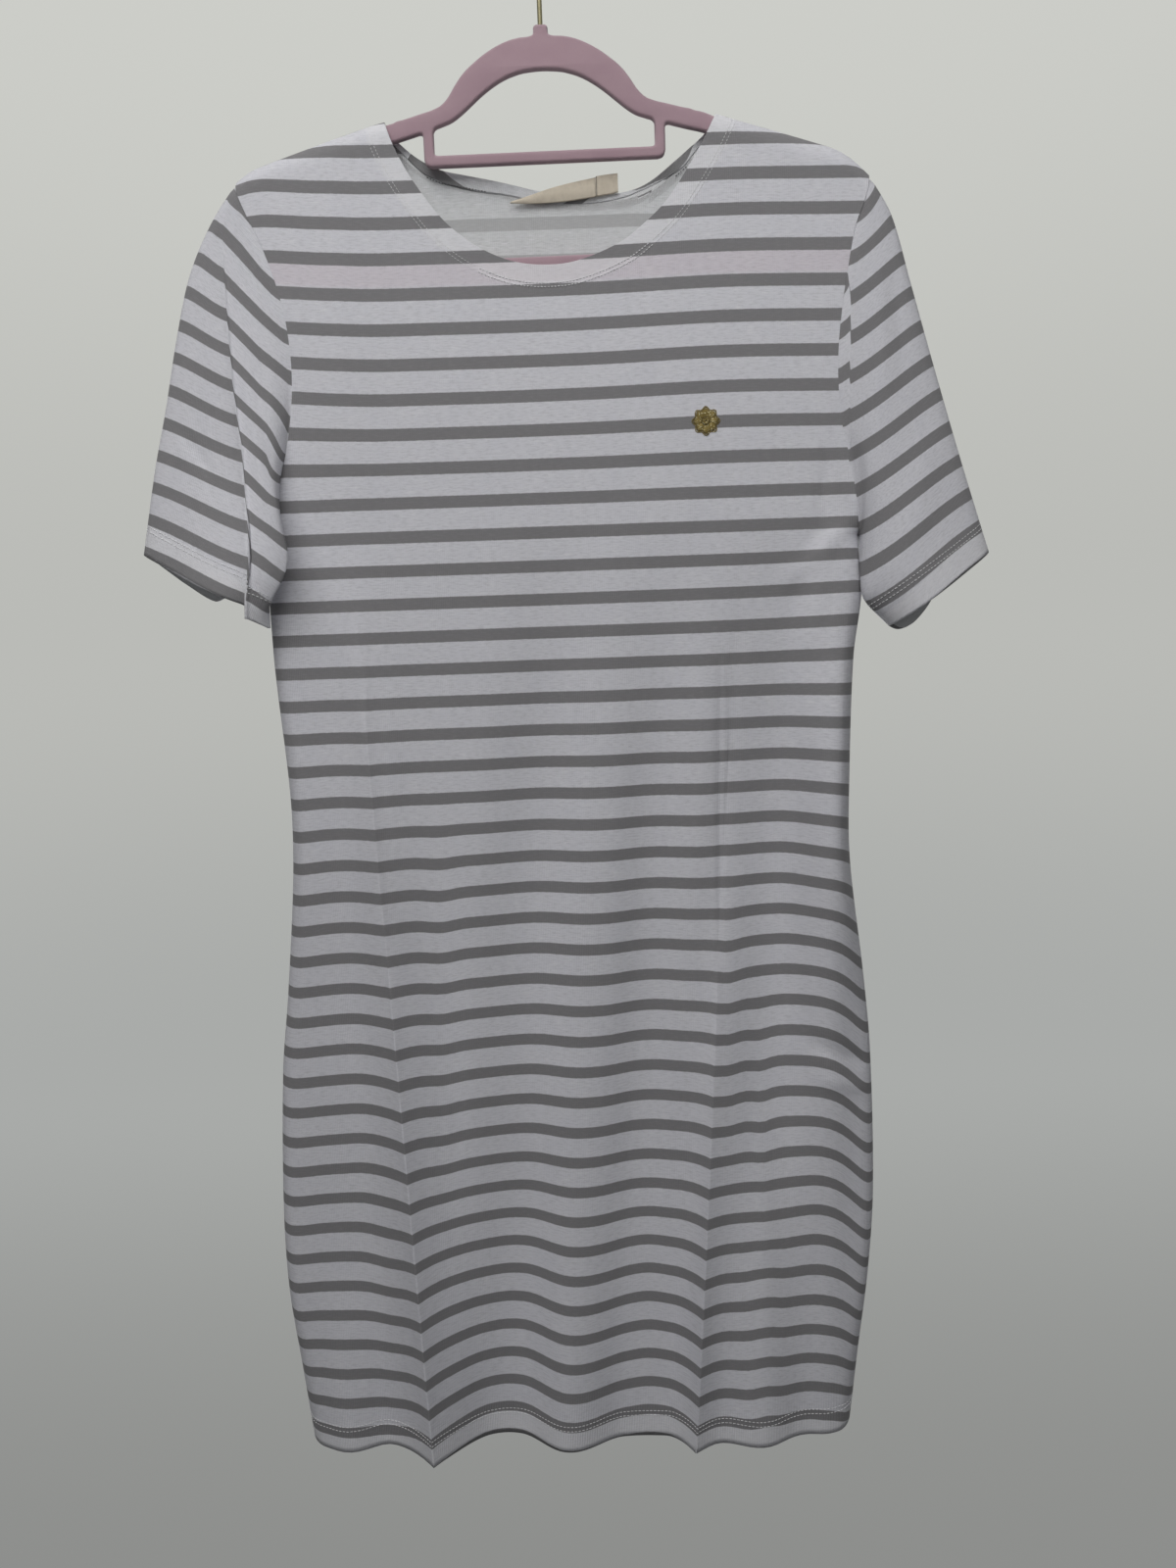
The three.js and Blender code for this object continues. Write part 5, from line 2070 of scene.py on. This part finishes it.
RIGHT_STATIONS = Table(
    "t outer_x outer_z inner_x inner_y inner_z half bulge",
    [
        (0, -208, -165.4, -206.9, 0, -412, 12, 0),
        (0.12, -227, -190, -206.8, -12, -415, 13, 9),
        (0.28, -245, -224, -206, -22, -420, 13, 17.5),
        (0.42, -257, -264, -204.5, -28, -426, 13.5, 24),
        (0.6, -268, -309, -202, -31, -433, 14.5, 27),
        (0.78, -279, -351, -199.5, -30, -443, 17, 21),
        (1, -292, -410, -200, -28, -463, 19, 0),
    ],
)
LEFT_STATIONS = Table(
    "t outer_x outer_z inner_x inner_y inner_z half bulge",
    [
        (0, 217.5, -174, 209.9, 0, -412, 12, 0),
        (0.12, 233, -200, 211, -4, -416, 13, 0),
        (0.28, 246, -243, 209.5, -9, -424, 14, 0),
        (0.5, 263, -301, 209, -13, -438, 15, 0),
        (0.75, 282, -364, 211, -14, -457, 18, 0),
        (1, 302, -427, 229, -12, -476, 20, 0),
    ],
)
RIGHT_GRAIN = Table(
    "drop outer_x outer crease_x crease tuck fold_x fold inner_x inner",
    [
        (160, -206, -10.55, -206, -10.6, -10.6, -203, -10.75, -198, -10.95),
        (176, -214, -9.85, -212, -9.97, -9.95, -206, -10.25, -199, -10.6),
        (190, -223.5, -9.16, -217.5, -9.32, -9.3, -206, -9.7, -199, -10.07),
        (240, -247, -6.79, -218.5, -7.52, -7.64, -201, -8.3, -184, -8.97),
        (300, -261.5, -3.99, -216, -5.01, -5.34, -197, -6.2, -177.2, -6.88),
        (345, -274.5, -1.89, -210.5, -3.13, -3.62, -194, -4.25, -184.5, -5.3),
        (380, -282.5, -0.25, -208, -1.67, -2.28, -195, -2.8, -186, -3.05),
        (400, -289, 0.68, -207, -0.84, -1.51, -195, -1.85, -181, -2.35),
        (430, -298, 2.08, -208, 0.42, -0.36, -197, -0.65, -187, -0.95),
        (455, -305, 3.2, -212, 1.46, 0.6, -204, 0.38, -194, 0.12),
        (480, -313, 4.4, -214, 2.5, 1.55, -208, 1.4, -199, 1.2),
    ],
)
LEFT_GRAIN = Table(
    "drop outer_x outer crease_x crease tuck fold_x fold inner_x inner",
    [
        (160, 213, -11.1, 212, -11.7, -11.7, 211, -11.75, 210, -11.8),
        (190, 226, -9.73, 210, -10.55, -10.55, 209, -10.58, 208, -10.6),
        (232, 241, -7.87, 203.3, -8.93, -8.4, 202.5, -8.6, 201.5, -8.8),
        (270, 252, -6.18, 203.2, -7.45, -7.03, 199.7, -7.17, 196, -7.32),
        (310, 264, -4.4, 202.3, -5.9, -5.73, 198, -5.82, 193.8, -5.92),
        (340, 273, -3.07, 202.6, -4.73, -4.73, 200, -4.79, 197, -4.85),
        (385, 287, -1.07, 202.6, -2.99, -2.99, 199.5, -3.1, 196, -3.25),
        (430, 302, 0.93, 208.5, -1.24, -1.24, 205, -1.35, 200, -1.5),
        (480, 318, 3.16, 220, 0.7, 0.7, 215, 0.6, 210, 0.4),
    ],
)
RIGHT_SAG = Table("r drop", [(0, 0), (0.1, 4.5), (0.25, 8.5), (0.5, 10), (0.62, 3), (1, 0)])
LEFT_SAG = Table("r drop", [(0, 0), (0.42, 2), (0.52, 9), (0.62, 12.5), (0.72, 13.5), (0.86, 10), (1, 0)])
RIGHT_WRINKLES = (
    Wrinkle((-203, -270), (-190, -385), -2.2, 4.0),
    Wrinkle((-243, -262), (-262, -372), 1.2, 9.0),
    Wrinkle((-262, -318), (-232, -362), -0.9, 4.0),
)
LEFT_WRINKLES = (
    Wrinkle((232, -215), (240, -330), -0.8, 5.0),
    Wrinkle((222, -220), (226, -340), 0.7, 5.0),
    Wrinkle((262, -330), (240, -430), 0.8, 10.0),
)
LABEL_OUTLINE = Table(
    "x top low",
    [
        (-25, -180.9, -182), (-12, -177.4, -182.6), (3, -173, -182.4), (18, -169.7, -181.4),
        (33.8, -166.9, -179.6),
    ],
)
TAB_OUTLINE = Table("x top low", [(33.9, -166.4, -179.3), (42, -165.4, -178.2), (48.8, -164.8, -177.2)])


def twin_rows(front: Panel, back: Panel, right: Sleeve, left: Sleeve) -> list[StitchRow]:
    """Lays the twin needle's rows round the neck, the hem and the cuffs.

    Args:
        front: The front panel, laid.
        back: The back panel, laid.
        right: The right sleeve, laid.
        left: The left sleeve, laid.

    Returns:
        The rows, with thicker stitches at the middle of the front neck.
    """
    rows = [neck_row(front, reach, (low, high), radius=radius, pitch=2.3, length=1.7)
            for reach in (11.8, 14.3)
            for low, high, radius in ((-120, -42, 0.2), (-42, 62, 0.42), (62, 120, 0.22))]
    for panel in (front, back):
        rows += [edge_row(panel.sheet, reach, np.array([0, panel.side.value, 0])) for reach in (17.0, 20.5)]
    for sleeve in (right, left):
        rows += [edge_row(sleeve.sheet, reach, sleeve.sheet.from_axis()) for reach in (17.6, 20.8)]
    return rows + [neck_row(back, 6.4, (-120, 120), radius=0.25)]


def main() -> None:
    """Builds the dress, its hanger and the studio, and reports each piece."""
    logging.basicConfig(level=logging.INFO, format="%(message)s")
    LOG.info("the frame holds %d nodes", len(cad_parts))
    Studio().build()
    outer = JerseyFinish("jersey_outside").material()
    # the front's finish carries the painted show-through of the hanger's bar
    front_outer = JerseyFinish("jersey_front_bar_show_through", painted_bar_show_through=True).material()
    inner = JerseyFinish("jersey_inside", ground=linear(222, 224, 225), stripe=linear(188, 189, 190),
                         first_stripe=-2.6, turned_stripe=linear(134, 133, 135)).material()
    band = JerseyFinish("jersey_band", ground=linear(222, 224, 226), stripe=linear(134, 134, 135)).material()
    thread = ThreadFinish("white_thread", linear(246, 246, 248)).material()
    ribbon = RibbonFinish("cream_ribbon").material()

    front = Panel("front_cloth", "front_panel", Side.FRONT, FRONT_NECK, FRONT_FOLDS, FRONT_WRINKLES,
                  flat=(0.50, 0.98), cut_area=0.40, skew=FRONT_SKEW, crease_s=CREASE_RIGHT)
    back = Panel("back_cloth", "back_panel", Side.BACK, BACK_NECK, BACK_FOLDS, BACK_WRINKLES,
                 flat=(0.46, 0.98), cut_area=0.40, skew=BACK_SKEW)
    Hanger().build(FlockFinish("pink_flock").material())
    Hook().build(WireFinish("brass_wire").material())
    front.build(front_outer, inner)
    back.build(outer, inner)
    right = Sleeve("right_sleeve_cloth", "right_sleeve", Hand.RIGHT, RIGHT_STATIONS, RIGHT_GRAIN,
                   plumb=True, wrinkles=RIGHT_WRINKLES, sag=RIGHT_SAG, ledge=2.4, hitch=9.0)
    left = Sleeve("left_sleeve_cloth", "left_sleeve", Hand.LEFT, LEFT_STATIONS, LEFT_GRAIN,
                  plumb=False, wrinkles=LEFT_WRINKLES, sag=LEFT_SAG, ledge=0.8, hitch=0.0)
    for sleeve in (right, left):
        sleeve.build(front, back, outer, inner)
    NeckBand("front_neck_band", "front_neck_facing", front, FRONT_BAND).build(inner)
    NeckBand("back_neck_band", "back_neck_facing", back, BACK_BAND).build(band)
    RibbonTag("blank_label", "neck_label", LABEL_OUTLINE, 0.9, (0.062, 0.011)).build(ribbon)
    # the tab carries the painted shadow of the slit beside the label
    RibbonTag("blank_tab", "size_tab", TAB_OUTLINE, 0.4, (0.013, 0.0136), painted_slit_shadow=True).build(ribbon)
    Rosette(front).build(GlitterFinish("gold_thread").material())

    Stitching("twin_stitching", twin_rows(front, back, right, left), thread).build()
    # Painted shadow: grey stitches under the back band's face, as dark dashes where the chain stitch's
    # needle holes lie in shade.
    chain = [neck_row(back, 8.0, span, inside=1.9, pitch=2.1, length=1.3, radius=0.4)
             for span in ((-78, -38), (82, 92))]
    grey = ThreadFinish("needle_hole_painted_shadow", linear(92, 92, 94)).material()
    Stitching("chain_stitch_painted_shadow", chain, grey).build()


if __name__ == "__main__":
    main()
